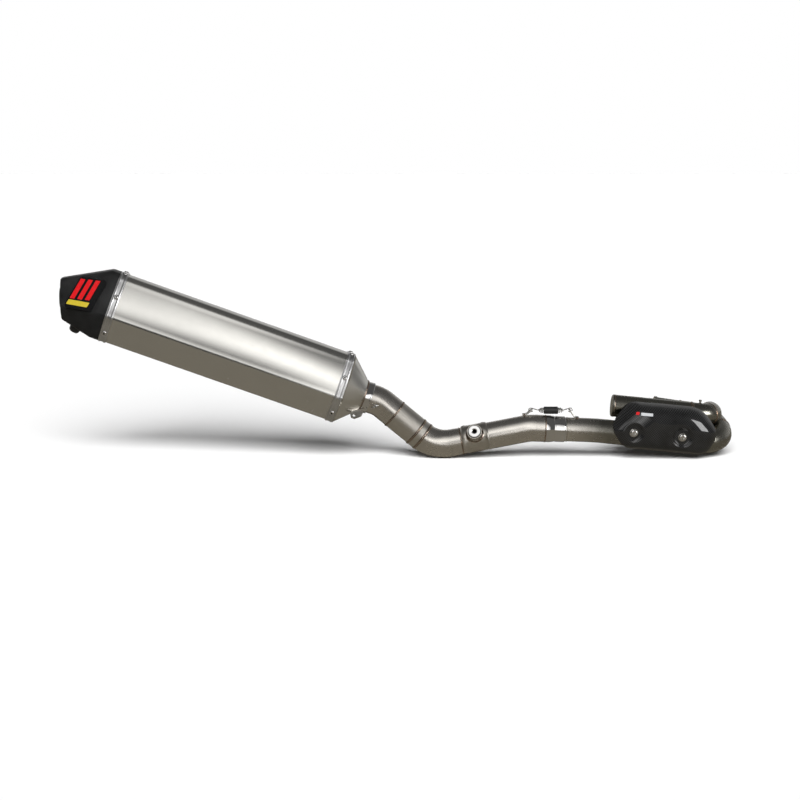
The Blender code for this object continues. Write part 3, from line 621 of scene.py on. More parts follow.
def build_chamber():
    path = rounded_path(CHAMBER_CORNERS) + [CHAMBER_TAIL]
    straight, bend = at_x(path, 52.0)
    body_part = bend[:-1]
    tail = [body_part[-1].lerp(CHAMBER_TAIL, t / 6) for t in range(7)]
    pipe("chamber_pipe", straight, (CHAMBER_R, CHAMBER_R), titanium_tube(), "header", ("chamber_tube",))
    pipe("chamber_bend_pipe", body_part, (CHAMBER_R, CHAMBER_R), titanium_tube(), "header",
         ("chamber_bend",))
    pipe("chamber_tail_pipe", tail, (CHAMBER_R, 9.0), titanium_tube(), "header", (), True, False,
         wall=1.0)
    bead_on("chamber_weld", bend, 0, CHAMBER_R, "header")
    middle = len(body_part) // 2 + 2
    bead_on("chamber_bend_weld", body_part, middle, CHAMBER_R, "header", height=0.8)
    start = CHAMBER_CORNERS[0][0]
    outward = (start - CHAMBER_CORNERS[1][0]).normalized()
    seat = frame_along(start, outward)
    cap = [(0.2, CHAMBER_R), (2.4, CHAMBER_R), (3.3, CHAMBER_R - 0.5), (4.0, CHAMBER_R - 1.6),
           (4.2, CHAMBER_R - 4.0),
           (3.8, 6.0), (3.8, 0.4)]
    turned_solid("chamber_end_cap", cap, titanium_tube(), "header", seat, 96,
                 ("chamber_cap",))
    weld_bead("chamber_cap_weld", seat, CHAMBER_R - 0.2, "header", width=2.2, height=0.6)
    stud_seat = frame_along(Vector((66.0, -87.0, 2.4)), Vector((0.1, 0, 1)), Vector((1, 0, 0)))
    base = CHAMBER_R - 0.4
    stud = [(base, 3.0), (base + 0.8, 2.2), (base + 1.0, 1.7), (base + 3.4, 1.7), (base + 3.6, 2.5),
            (base + 5.6, 2.5), (base + 6.1, 2.0), (base + 6.2, 0.4)]
    turned_solid("chamber_plug_stud", stud, wire_steel(), "header", stud_seat, 24,
                 ("chamber_stud",))


# ------------------------------------------------------------ shield
def corner_points(corners, offset=0.0, steps=4):
    """A convex outline with rounded corners, grown by an offset; corners are (a, b, radius)."""
    outline = []
    count = len(corners)
    for i, (a, b, radius) in enumerate(corners):
        here = Vector((a, b))
        before, after = Vector(corners[i - 1][:2]), Vector(corners[(i + 1) % count][:2])
        to_before, to_after = (before - here).normalized(), (after - here).normalized()
        half = to_before.angle(to_after) / 2
        middle = here + (to_before + to_after).normalized() * radius / math.sin(half)
        turn = math.pi - 2 * half
        sign = 1.0 if to_before.x * to_after.y - to_before.y * to_after.x < 0 else -1.0
        away = -(to_before + to_after).normalized()
        for k in range(steps + 1):
            angle = sign * turn * (k / steps - 0.5)
            ca, sa = math.cos(angle), math.sin(angle)
            direction = Vector((away.x * ca - away.y * sa, away.x * sa + away.y * ca))
            outline.append(middle + direction * (radius + offset))
    return outline


def filled_outline(outline, spacing):
    filled = []
    for a, b in zip(outline, outline[1:] + outline[:1]):
        count = max(1, round((b - a).length / spacing))
        filled += [a.lerp(b, i / count) for i in range(count)]
    return filled


def smooth_step(value):
    value = min(1.0, max(0.0, value))
    return value * value * (3.0 - 2.0 * value)


def shield_point(edge, fraction, thick):
    flat = Vector(SHIELD_CENTRE).lerp(edge, fraction)
    lean = (edge.y - SHIELD_CENTRE[1]) / 42.0
    end_y = SHIELD_TOP_Y if lean > 0 else SHIELD_LOW_Y
    forward = min(1.0, max(0.0, (edge.x + 88.0) / 150.0))
    side_y = SHIELD_REAR_Y + (SHIELD_FRONT_Y - SHIELD_REAR_Y) * forward
    rim_y = side_y + (end_y - side_y) * min(1.0, abs(lean))
    y = SHIELD_CROWN_Y + (rim_y - SHIELD_CROWN_Y) * (0.13 * fraction ** 2 + 0.87 * fraction ** 7)
    nearest = min(math.hypot(flat.x - a, flat.y - b) for a, b in SHIELD_BOLTS.values())
    y += (SEAT_Y - y) * smooth_step((DISH_R - nearest) / (DISH_R - SEAT_R))
    return Vector((flat.x, y + thick, flat.y))


def build_shield():
    outline = filled_outline(corner_points(SHIELD_CORNERS, 0.0, 10), 2.5)
    middle = Vector(SHIELD_CENTRE)
    inset = [p - (p - middle).normalized() * SHIELD_THICK for p in outline]
    steps = [0.01] + [(i / 44) ** 0.85 for i in range(1, 45)]
    front = [[shield_point(e, f, 0.0) for e in outline] for f in steps]
    back = [[shield_point(e, f, SHIELD_THICK) for e in inset] for f in reversed(steps)]
    rings = front + back
    slope = math.radians(6.0)

    def uv(i, j):
        p = rings[i % len(rings)][j % len(outline)]
        return (p.x * math.cos(slope) - p.z * math.sin(slope) + 400.0,
                p.x * math.sin(slope) + p.z * math.cos(slope) + 400.0)

    add_piece("carbon_heat_shield", rings, gloss_carbon(), "header", ("heat_shield",),
              closed=False,
              caps=True, uv=uv, sharp=50.0)
    for place, (x, z) in SHIELD_BOLTS.items():
        seat = frame_along(Vector((x, SEAT_Y, z)), Vector((0, -1, 0)))
        washer = [(0.0, 3.0), (0.0, 7.0), (0.3, 7.2), (1.3, 7.2), (1.6, 6.9), (1.6, 3.0)]
        turned("shield_washer_turned_" + place, washer, bright_steel(), "header", seat, 48,
               ("shield_washer_" + place,))
        head = [(1.6, 3.4), (1.6, 5.6), (2.0, 6.0), (4.2, 6.0), (5.2, 5.2), (5.6, 4.0), (5.5, 2.9),
                (2.8, 2.8)]
        socket = [Vector((2.8, 2.9 * math.cos(t) * f, 2.9 * math.sin(t) * f)) for t, f in
                  ((2 * math.pi * k / 48, hexagon_share(2 * math.pi * k / 48)) for k in range(48))]
        mouth = [Vector((5.5, p.y, p.z)) for p in socket]
        rings = spun(head[:-2], 48) + [mouth, socket]
        add_piece("shield_bolt_head_" + place, rings, bright_steel(), "header",
                  ("shield_bolt_" + place,), seat, closed=False, caps=True)


def hexagon_share(angle):
    """How far a hexagon's edge is from its middle, next to its corners' distance."""
    sector = math.pi / 3
    return math.cos(sector / 2) / math.cos((angle % sector) - sector / 2)


# ------------------------------------------------------------ link pipe
def link_path():
    corners = [(on_joint(SLEEVE_END + 0.3), 0.0), (joint_point_at(LINK_BEND_X), 90.0), (LINK_ELBOW, 62.0),
               (on_muffler(-LINK_ENTRY), 46.0), (on_muffler(LINK_INSERTION), 0.0)]
    return rounded_path(corners)


def build_link():
    seat = frame_along(JOINT_POINT, JOINT_DIR)
    bore = HEADER_R + 0.4
    sleeve = [(SLEEVE_START, bore), (SLEEVE_START, 21.2), (SLEEVE_START + 0.8, SLEEVE_R - 0.3),
              (SLEEVE_START + 1.8, SLEEVE_R), (SLEEVE_START + 2.1, SLEEVE_R), (20.1, SLEEVE_R),
              (20.4, SLEEVE_R),
              (21.0, SLEEVE_R - 0.5), (22.4, SLEEVE_R - 0.5), (23.2, SLEEVE_R + 0.1),
              (23.6, SLEEVE_R + 0.14),
              (26.4, SLEEVE_R + 0.4), (26.9, SLEEVE_R + 0.48), (29.6, LINK_R - 0.05), (30.2, LINK_R),
              (36.9, LINK_R),
              (SLEEVE_END, LINK_R),
              (SLEEVE_END, bore)]
    turned("link_socket", sleeve, polished_steel(), "link", seat, replaced=("link_sleeve",),
           sharp=14.0)
    path = link_path()
    front, rest = at_x(path, -342.0)
    elbow, rest = at_x(rest, -408.6)
    ring, rest = at_x(rest, -419.0)
    middle, end = at_x(rest, -455.8)
    same, wide = (LINK_R, LINK_R), (LINK_END_R, LINK_END_R)
    for label, points, radii, material, node in (
            ("front", front, same, titanium_tube(), "front_tube"),
            ("elbow", elbow, (LINK_R, LINK_END_R), titanium_tube(), "elbow"),
            ("ring", ring, wide, titanium_brushed(), "ring"),
            ("middle", middle, wide, titanium_brushed(), "middle_tube"),
            ("end", end, wide, titanium_tube(), "end_tube")):
        pipe("link_%s_pipe" % label, points, radii, material, "link", ("link_" + node,),
             hot_end=label != "end")
    bead_on("link_weld_socket", front, 0, LINK_R, "link", width=2.6, height=0.6, ripples=60)
    bead_on("link_weld_saddle", elbow, 0, LINK_R, "link", width=2.6, height=0.5, ripples=60)
    bead_on("link_weld_elbow", ring, 0, LINK_END_R, "link")
    bead_on("link_weld_ring", middle, 0, LINK_END_R, "link")
    bead_on("link_weld_end", end, 0, LINK_END_R, "link", width=3.8)
    build_hanger(front)


def build_hanger(front):
    b, a = front[-1], front[-2]
    along = (b - a).normalized()
    centre = b + along * ((HANGER_X - b.x) / along.x)
    outward = Vector((0, -math.cos(HANGER_TILT), math.sin(HANGER_TILT)))
    outward = (outward - along * outward.dot(along)).normalized()
    seat = frame_along(centre, outward, -along)
    inner, outer = LINK_R + 0.1, LINK_R + 2.3
    steps, stations = 48, 20
    rings = []
    for k in range(steps + 1):
        angle = math.radians(-72.0 + 150.0 * k / steps)
        c, s = math.cos(angle), math.sin(angle)
        end_share = min(1.0, min(k, steps - k) / 6.0)
        half = HANGER_HALF * (0.72 + 0.28 * math.sin(math.pi / 2 * end_share))
        ring = []
        for m in range(stations + 1):
            t = -1.0 + 2.0 * m / stations
            lip = math.exp(-((abs(t) - 0.88) / 0.07) ** 2)
            saddle = outer - 0.9 + 1.1 * lip - (0.8 if abs(t) > 0.985 else 0.0)
            ring.append(Vector((saddle * c, saddle * s, half * t)))
        for m in range(stations + 1):
            t = 1.0 - 2.0 * m / stations
            ring.append(Vector((inner * c, inner * s, half * t)))
        rings.append(ring)
    add_piece("hanger_saddle_plate", rings, titanium_worn(), "link", ("hanger_saddle",), seat,
              closed=False, caps=True, sharp=30.0,
              heat=lambda i, j: 0.75 if i in (0, 1, 2, steps, steps - 1, steps - 2) else 0.25)
    base, face = outer + 0.2, HANGER_FACE
    cup = [(base - 1.6, 4.0), (base - 1.6, CUP_R + 3.4), (base + 0.4, CUP_R + 1.6),
           (base + 2.4, CUP_R + 0.3),
           (base + 5.0, CUP_R), (face - 2.6, CUP_R), (face - 2.0, CUP_R - 0.4),
           (face - 2.0, RUBBER_R + 0.4),
           (face - 2.6, RUBBER_R + 0.1), (base + 2.5, RUBBER_R + 0.1), (base + 2.5, 4.0)]
    turned("hanger_cup_turned", cup, titanium_tube(), "link", seat, replaced=("hanger_cup",),
           sharp=30.0)
    ring = [(base + 2.8, BUSH_R + 0.1), (base + 2.8, RUBBER_R), (face - 3.2, RUBBER_R),
            (face - 2.5, RUBBER_R - 0.7),
            (face - 2.5, BUSH_R + 0.7), (face - 3.2, BUSH_R + 0.1)]
    turned("hanger_rubber_ring", ring, black_rubber(), "link", seat,
           replaced=("hanger_rubber",))
    bush = [(base + 2.8, BUSH_HOLE_R), (base + 2.8, BUSH_R), (face - 2.2, BUSH_R), (face - 1.8, 9.8),
            (face - 0.5, 10.0),
            (face, 9.5), (face, 5.0), (face - 0.7, BUSH_HOLE_R)]
    turned("hanger_bush_turned", bush, turned_aluminium(), "link", seat,
           replaced=("hanger_bush",),
           sharp=30.0)
    # Painted shade: a black rubber sleeve and floor inside the bush bore stand in for the shadow down the
    # hole.
    bore_shade_plug = [(base + 2.7, 0.05), (base + 2.7, BUSH_HOLE_R - 0.1), (face - 3.0, BUSH_HOLE_R - 0.1),
           (face - 3.0, BUSH_HOLE_R - 0.6), (base + 3.4, BUSH_HOLE_R - 0.6), (base + 3.4, 0.05)]
    turned("hanger_bore_shade_plug", bore_shade_plug, black_rubber(), "link", seat, sharp=30.0)
    weld_bead("hanger_cup_weld", frame_along(seat @ Vector((base + 0.2, 0, 0)), outward, -along),
              CUP_R + 1.6, "link",
              width=2.6, height=0.8, ripples=30)


def wire(name, points, radius, material, body, replaced=(), sides=14):
    frames = path_frames(points)
    rings = [[p + s * a + o * b for a, b in circle(radius, sides)] for p, _, s, o in frames]
    return add_piece(name, rings, material, body, replaced, closed=False, caps=True, sharp=60.0)


def hairpin(name, x, direction, body, replaced, surface_z):
    """A bent-wire hook: two legs welded to the pipe and a bar across their top."""
    y = JOINT_POINT.y
    half = 4.2
    foot_x, foot_z = x - direction * 9.0, surface_z + 0.6

    def foot(side):
        return [Vector((foot_x - direction * 6.5, y + side, foot_z - 0.2)),
                Vector((foot_x - direction * 1.5, y + side, foot_z))]

    points = foot(-half)
    top = Vector((x, y - half, SPRING_Z + 1.0))
    points += [Vector((foot_x, y - half, foot_z)).lerp(top, t / 8) for t in range(1, 8)]
    for k in range(13):
        angle = math.pi * k / 12
        points.append(Vector((x + direction * (1.2 * math.sin(angle)), y - half * math.cos(angle),
                              SPRING_Z + 1.0 + 1.4 * math.sin(angle))))
    low = Vector((foot_x, y + half, foot_z))
    points += [top.lerp(low, t / 8) + Vector((0, 2 * half * (1 - t / 8), 0)) for t in range(1, 8)]
    points += foot(half)[::-1]
    wire(name, points, 1.35, wire_steel(), body, replaced)
    for side in (-half, half):
        seat = frame_along(Vector((foot_x - direction * 3.4, y + side, foot_z - 1.0)), Vector((0, 0, 1)),
                           Vector((1, 0, 0)))
        blob = [(0.0, 2.6), (0.8, 2.4), (1.6, 1.7), (2.1, 0.8)]
        turned_solid(name + ("_weld_near" if side < 0 else "_weld_far"), blob, weld_metal(), body,
                     seat, 20)


def spring_line():
    """Wire of the spring: an open hook, a close coil that tapers at both ends, another hook."""
    y = JOINT_POINT.y
    points = []
    reach = SPRING_LEFT - EYE_LEFT
    for k in range(15):
        angle = math.radians(-60.0 + 18.0 * k)
        points.append(Vector((EYE_LEFT - 1.0 - 3.6 * math.sin(angle), y,
                              SPRING_Z + 0.6 - 3.2 * math.cos(angle))))
    points.append(Vector((EYE_LEFT + reach * 0.62, y, SPRING_Z + 1.4)))
    per_turn = 26
    total = SPRING_TURNS * per_turn
    for k in range(total + 1):
        angle = 2 * math.pi * k / per_turn
        grow = min(1.0, 0.25 + k / (per_turn * 2.0), 0.25 + (total - k) / (per_turn * 2.0))
        x = SPRING_LEFT + (SPRING_RIGHT - SPRING_LEFT) * k / total
        points.append(Vector((x, y + SPRING_R * grow * math.cos(angle),
                              SPRING_Z + SPRING_R * grow * math.sin(angle))))
    points.append(Vector((EYE_RIGHT - reach * 0.62, y, SPRING_Z + 1.4)))
    for k in range(15):
        angle = math.radians(192.0 - 18.0 * k)
        points.append(Vector((EYE_RIGHT + 1.0 + 3.6 * math.sin(angle), y,
                              SPRING_Z + 0.6 - 3.2 * math.cos(angle))))
    return points


def build_spring():
    link_top = joint_point_at(-236.0).z + LINK_R - 0.4
    header_top = joint_point_at(-150.0).z + HEADER_R
    hairpin("link_hook_wire", EYE_LEFT, 1.0, "link", ("link_spring_hook",), link_top)
    hairpin("header_hook_wire", EYE_RIGHT, -1.0, "header", ("header_spring_hook",), header_top)
    y = JOINT_POINT.y * MM
    crossing = ("link", "header", (EYE_LEFT * MM, y, SPRING_Z * MM), (EYE_RIGHT * MM, y, SPRING_Z * MM))
    wire("joint_spring_wire", spring_line(), WIRE_R, wire_steel(), crossing, ("joint_spring",),
         10)
    inside = SPRING_R + WIRE_R + 0.1
    profile = [(-12.0, inside), (-12.0, 5.6), (-11.5, 6.1), (-10.8, 6.3), (-4.0, 6.2), (0.0, 6.3),
               (4.0, 6.2),
               (10.8, 6.3), (11.5, 6.1), (12.0, 5.6), (12.0, inside)]
    seat = frame_along(Vector(((SPRING_LEFT + SPRING_RIGHT) / 2, JOINT_POINT.y, SPRING_Z)),
                       Vector((1, 0, 0)))
    add_piece("joint_spring_rubber", spun(profile, 48), black_rubber(), "link",
              ("joint_spring_sleeve",), seat,
              sharp=50.0)


# ------------------------------------------------------------ muffler
def outward_sign():
    """+1 if turning an edge left points out of the section, else -1."""
    a, b = Vector(SECTION[0][:2]), Vector(SECTION[1][:2])
    edge = b - a
    return 1.0 if Vector((-edge.y, edge.x)).dot(a + b) > 0 else -1.0


def section(offset=0.0):
    rounded = corner_points(SECTION, offset, CORNER_STEPS)
    outline = []
    for i, (a, b) in enumerate(zip(rounded, rounded[1:] + rounded[:1])):
        if (i + 1) % (CORNER_STEPS + 1):
            outline.append(a)
            continue
        edge = (b - a).normalized()
        crown = CROWN[i // (CORNER_STEPS + 1)]
        for k in range(SECTION_FILL + 1):
            t = k / (SECTION_FILL + 1)
            outline.append(a.lerp(b, t) + Vector((-edge.y,
                                                  edge.x)) * crown * outward_sign() * 4 * t * (1 - t))
    return outline


def section_ring(along, offset=0.0):
    return [Vector((along, p.x, p.y)) for p in section(offset)]


def round_ring(along, radius):
    ring = []
    for point in section():
        angle = math.atan2(point.y, point.x)
        ring.append(Vector((along, radius * math.cos(angle), radius * math.sin(angle))))
    return ring


def mix_rings(first, second, fraction):
    return [a.lerp(b, fraction) for a, b in zip(first, second)]


def build_shell():
    stations = [SHELL_START + (SHELL_END - SHELL_START) * k / 24 for k in range(25)]
    outer = [section_ring(s) for s in stations]
    inner = [section_ring(s, -SHELL_WALL) for s in reversed(stations)]
    add_piece("muffler_shell_sheet", outer + inner, titanium_sheet(), "muffler",
              ("muffler_shell",),
              MUFFLER_FRAME, sharp=45.0)
    for name, start in (("inlet_band", SHELL_START + 0.4), ("outlet_band", SHELL_END - BAND_WIDTH)):
        build_band(name, start, BAND_WIDTH - 0.4)


def build_band(name, start, width):
    """A rivet band: two rolled beads and turned-down edges, swept round the section."""
    profile = []
    steps = 40
    for k in range(steps + 1):
        t = k / steps
        bead = math.exp(-((t - 0.20) / 0.08) ** 2) + math.exp(-((t - 0.80) / 0.08) ** 2)
        edge = 0.7 if k in (0, steps) else 0.0
        profile.append((start + width * t, 0.9 + 1.0 * bead - edge))
    rings = [section_ring(s, offset) for s, offset in profile]
    rings += [section_ring(start + width, 0.1), section_ring(start, 0.1)]
    add_piece(name + "_rolled", rings, band_steel(), "muffler", (name,), MUFFLER_FRAME,
              sharp=60.0)


def build_inlet():
    big, small = section_ring(SHELL_START + 0.6, 1.0), round_ring(1.3, 27.6)
    outer = [mix_rings(small, big, k / 24) for k in range(25)]
    crease = section_ring(SHELL_START + 0.2, 1.5)
    inner = [mix_rings(round_ring(1.3, 26.0), section_ring(SHELL_START, -0.6),
                       k / 4) for k in range(4, -1, -1)]
    add_piece("inlet_cone", outer[:-1] + [crease] + inner, titanium_sheet(), "muffler",
              ("inlet_cap",),
              MUFFLER_FRAME, sharp=20.0)
    collar = [(-12.0, 25.6), (-12.0, 26.8), (-11.5, 27.2), (-10.0, 27.2), (-9.2, 26.7), (-2.0, 26.6),
              (0.6, 26.9),
              (1.0, 26.9), (1.0, 25.6)]
    turned("inlet_collar_turned", collar, polished_steel(), "muffler", MUFFLER_FRAME,
           replaced=("inlet_collar",), sharp=30.0)
    weld_bead("inlet_cone_weld", frame_along(on_muffler(0.8), MUFFLER_DIR), 27.2, "muffler", width=4.0,
              height=1.1,
              ripples=44)


def end_axes():
    normal = Vector((math.cos(CAP_END_TILT), 0, math.sin(CAP_END_TILT)))
    return normal, Vector((-normal.z, 0, normal.x))


def end_ring(offset=0.0, sink=0.0):
    normal, across = end_axes()
    centre_up = (SECTION[0][1] + SECTION[2][1]) / 2
    return [CAP_END + Vector((0, p.x * CAP_END_SCALE[0],
                              0)) + across * (p.y - centre_up) * CAP_END_SCALE[1]
            - normal * sink for p in section(offset)]


def outlet_ring(radius, sink):
    normal, across = end_axes()
    ring = []
    for point in section():
        angle = math.atan2(point.y, point.x)
        ring.append(CAP_END + Vector((0, radius * math.cos(angle), 0)) + across * radius * math.sin(angle)
                    - normal * sink)
    return ring


def build_outlet():
    base = SHELL_END - 2.0
    straight = section_ring(CAP_CREST, 0.8)
    rings = [section_ring(base, 0.25), section_ring(SHELL_END + 0.4, 0.8),
             section_ring(CAP_CREST - 1.5, 0.8)]
    for k in range(20):
        rings.append(mix_rings(straight, end_ring(0.0), 0.02 + 0.93 * k / 19))
    rings += [mix_rings(straight, end_ring(-0.8), 0.985), end_ring(-2.6), end_ring(-5.0),
              outlet_ring(OUTLET_R + 2.0, 0.0), outlet_ring(OUTLET_R + 0.4, 0.4),
              outlet_ring(OUTLET_R + 0.4, CAP_WALL)]
    inner_straight = section_ring(CAP_CREST - 1.0, 0.8 - CAP_WALL)
    for k in range(6):
        rings.append(mix_rings(inner_straight, end_ring(-CAP_WALL / 0.6, CAP_WALL), 0.93 - 0.93 * k / 5))
    rings.append(section_ring(base, 0.25 - CAP_WALL))
    add_piece("outlet_cap_shell", rings, satin_carbon(), "muffler", ("outlet_cap",),
              MUFFLER_FRAME,
              sharp=24.0)
    normal, _ = end_axes()
    mouth = MUFFLER_FRAME @ frame_along(CAP_END, normal)
    inner = OUTLET_R - 1.4
    tube = [(-OUTLET_LENGTH, OUTLET_R), (OUTLET_PROUD - 0.7, OUTLET_R),
            (OUTLET_PROUD - 0.2, OUTLET_R - 0.2),
            (OUTLET_PROUD, OUTLET_R - 0.7), (OUTLET_PROUD - 0.2, inner + 0.2),
            (OUTLET_PROUD - 0.8, inner),
            (-OUTLET_LENGTH, inner)]
    turned("outlet_mouth_tube", tube, black_screw(), "muffler", mouth, replaced=("outlet_tube",),
           sharp=50.0)
    insert = [(-34.0, 11.0), (-34.0, 12.4), (-6.0, inner - 0.3), (-3.2, inner - 0.3), (-3.0, inner - 0.8),
              (-3.0, 12.4), (-3.6, 11.6), (-5.0, 11.0)]
    turned("noise_insert_turned", insert, bright_steel(), "muffler", mouth,
           replaced=("noise_insert",))
    drop = Vector((0.175, 0.0, -0.985))
    seat = MUFFLER_FRAME @ frame_along(Vector((493.0, 0.0, -50.6)), drop, Vector((1, 0, 0)))
    head = [(-1.6, 10.5), (0.6, 10.0), (1.2, 9.4), (5.0, 9.0), (7.2, 8.4), (9.0, 7.0), (10.0, 5.4),
            (10.4, 3.4),
            (8.0, 3.2), (7.8, 0.4)]
    turned_solid("insert_screw_head", head, black_screw(), "muffler", seat, 48,
                 ("insert_screw",))


def build_rivets():
    """Pop rivets over both bands, each with its mandrel hole and a near-black disc inside it as painted
    shade.
    """
    corners = [Vector((c[0], c[1])) for c in SECTION]
    spots = [("top_near", 5, 0, 0.78), ("side_near", 0, 1, 0.52), ("low_near", 1, 2, 0.62),
             ("low_far", 3, 4, 0.38), ("side_far", 4, 5, 0.48), ("top_far", 5, 0, 0.22)]
    for end, along in (("inlet", SHELL_START + 7.2), ("outlet", SHELL_END - 7.2)):
        for label, first, second, fraction in spots:
            edge = (corners[second] - corners[first]).normalized()
            normal = Vector((-edge.y, edge.x)) * outward_sign()
            crown = CROWN[first] * 4 * fraction * (1 - fraction)
            point = corners[first].lerp(corners[second], fraction) + normal * (1.1 + crown)
            seat = MUFFLER_FRAME @ frame_along(Vector((along, point.x, point.y)),
                                               Vector((0, normal.x, normal.y)), Vector((1, 0, 0)))
            dome = [(-0.4, 4.3), (0.5, 4.2), (1.1, 3.7), (1.7, 2.9), (1.95, 2.3), (1.9, 1.8), (0.9, 1.6),
                    (0.6, 0.2)]
            turned_solid("rivet_head_" + end + "_" + label, dome, polished_steel(), "muffler",
                         seat, 40,
                         ("rivet_" + end + "_" + label,), sharp=50.0)
            # Painted shade: a near-black disc just inside the mandrel hole stands in for the shade down
            # the hole.
            bore = [(0.5, 1.7), (1.5, 1.65), (1.52, 0.2)]
            turned_solid("rivet_hole_shade_" + end + "_" + label, bore, black_screw(), "muffler",
                         seat, 24)


def build_lug():
    angle = math.radians(-52.0)
    outward = Vector((0, math.cos(angle), math.sin(angle)))
    normal = Vector((0, -math.sin(angle), math.cos(angle)))
    outline = [(33.0, 13.0, 1.5), (43.0, 13.0, 4.0), (48.5, 10.0, 4.0), (48.5, 4.0, 4.0),
               (39.5, -6.0, 3.0), (31.0, -7.5, 2.0), (28.0, 1.0, 1.5)]
    plate = corner_points(outline, 0.0, 8)
    bevelled = corner_points(outline, -0.4, 8)
    centre = Vector((43.0, 6.5))

    def hole(radius):
        return [centre + (p - centre).normalized() * radius for p in plate]

    layers = [(-1.5, bevelled), (-1.1, plate), (1.1, plate), (1.5, bevelled), (1.5, hole(3.0)),
              (1.1, hole(2.6)),
              (-1.1, hole(2.6)), (-1.5, hole(3.0))]
    rings = [[Vector((p.y, 0, 0)) + outward * p.x + normal * h for p in line] for h, line in layers]
    add_piece("inlet_lug_plate", rings, titanium_worn(), "muffler", ("inlet_lug",),
              MUFFLER_FRAME,
              sharp=30.0, heat=lambda i, j: 0.55)
    base = MUFFLER_FRAME @ Vector((-23.0, LINK_END_R + 0.4, -7.0))
    tip = MUFFLER_FRAME @ Vector((-17.0, LINK_END_R + 8.0, -11.0))
    lift = (tip - base).normalized()
    length = (tip - base).length
    seat = frame_along(base, lift, Vector((0, 1, 0)))
    peg = [(-1.5, 4.4), (0.4, 3.6), (1.6, 2.2), (length - 2.2, 1.7), (length - 1.6, 1.9),
           (length - 1.2, 2.6),
           (length - 0.4, 2.6), (length, 2.0)]
    turned_solid("link_rear_peg", peg, wire_steel(), "link", seat, 32, ("link_rear_hook",))


def dress_solids():
    """Materials for the solids that are shown as they are: core, packing and shield bosses."""
    for name, made in (("packing", glass_wool()), ("perforated_core", wire_steel()),
                       ("shield_boss_rear", titanium_worn()), ("shield_boss_front", titanium_worn())):
        materials = frame["nodes"][name].data.materials
        materials.clear()
        materials.append(made)


# ------------------------------------------------------------ decals
def decal(name, corners, look_made, body, place, lift, radius=0.8, thick=0.25):
    """A thin printed plate: corners in local Y and Z, its face at local X = lift."""
    outline = corner_points([(a, b, radius) for a, b in corners], 0.0, 4)
    rings = [[Vector((h, p.x, p.y)) for p in outline] for h in (lift - thick, lift)]
    return add_piece(name, rings, look_made, body, place=place, closed=False, caps=True)


def build_cap_badge():
    """A generic badge on the cap's near face: a dark plate, slanted red bars and a yellow bar."""
    straight, ending = section_ring(CAP_CREST, 0.8), end_ring(0.0)
    index = [k for k, p in enumerate(section()) if p.x > 0 and p.y < 46.0 and p.y > -8.0]
    low, high = index[-1], index[0]
    a, b = straight[high], straight[low]
    c, d = ending[high], ending[low]
    centre = (a + b + c + d) / 4
    along = ((c + d) - (a + b)).normalized()
    up = ((a + c) - (b + d)).normalized()
    normal = along.cross(up).normalized()
    if normal.y < 0:
        normal = -normal
    up = normal.cross(along).normalized()
    if up.z < 0:
        up = -up
    right = up.cross(normal).normalized()
    rotation = Matrix((normal, right, up)).transposed().to_4x4()
    place = MUFFLER_FRAME @ Matrix.Translation(centre) @ rotation
    sign = 1.0 if (MUFFLER_FRAME.to_3x3() @ right).x > 0 else -1.0

    def spots(points):
        return [(sign * x, z) for x, z in points]

    decal("badge_plate", spots([(-28, -24), (20, -30), (44, 24), (-4, 30)]), black_enamel(), "muffler",
          place, 3.4, 6.0)
    for k in range(3):
        x = -12.0 + 13.0 * k
        decal("badge_red_bar_%d" % k,
              spots([(x - 6, -8 - k), (x + 2, -9 - k), (x + 17, 25 - k), (x + 9, 26 - k)]),
              red_enamel(), "muffler", place, 3.7)
    decal("badge_yellow_bar", spots([(-23, -18), (13, -23), (17, -15), (-19, -10)]), yellow_enamel(),
          "muffler",
          place, 3.7)


def build_shield_badge():
    slope = math.radians(-4.0)
    for name, x, z, width, height, made in (("shield_badge_dash", -45.5, 11.0, 5.6, 5.6, red_enamel()),
                                            ("shield_badge_bar", -30.5, 9.6, 20.0, 5.2, silver_foil())):
        y = shield_surface_y(x, z)
        rise = (shield_surface_y(x, z + 3.0) - shield_surface_y(x, z - 3.0)) / 6.0
        run = (shield_surface_y(x + 5.0, z) - shield_surface_y(x - 5.0, z)) / 10.0
        right = Vector((math.cos(slope), run, math.sin(slope))).normalized()
        up = Vector((-math.sin(slope), rise, math.cos(slope)))
        up = (up - right * up.dot(right)).normalized()
        normal = right.cross(up)
        if normal.y > 0:
            normal = -normal
        rotation = Matrix((normal, right, up)).transposed().to_4x4()
        corners = [(-width / 2, -height / 2), (width / 2, -height / 2), (width / 2, height / 2),
                   (-width / 2, height / 2)]
        decal(name, corners, made, "header", Matrix.Translation(Vector((x, y, z))) @ rotation,
              0.9, 0.9)


def shield_surface_y(x, z):
    """Depth of the shield's front face over a point, from the outline's nearest ray."""
    target = Vector((x, z)) - Vector(SHIELD_CENTRE)
    outline = filled_outline(corner_points(SHIELD_CORNERS, 0.0, 10), 1.5)
    edge = max(outline, key=lambda e: (e - Vector(SHIELD_CENTRE)).normalized().dot(target.normalized()))
    return shield_point(edge, target.length / (edge - Vector(SHIELD_CENTRE)).length, 0.0).y


# ------------------------------------------------------------ studio
TARGET = Vector((-0.4466, -0.112, 0.0302))
CAMERA_DISTANCE, CAMERA_ELEVATION = 3.0, math.radians(8.0)
CAMERA_LENS, SENSOR_WIDTH = 79.41, 36.0
KEY_STRENGTH, KEY_ANGLE, KEY_TILT = 6.1, math.radians(40.0), math.radians(56.0)
WINDOW_CENTRE, WINDOW_AIM = Vector((1.10, -1.10, 0.42)), Vector((0.09, -0.13, -0.01))
WINDOW_SIZE, WINDOW_STRENGTH = (0.80, 0.60), 9.0
BANK_FADE = [(0.0, 0.92), (0.06, 1.0), (0.22, 1.0), (0.318, 0.71), (0.435, 0.51), (0.61, 0.32),
             (0.97, 0.12)]


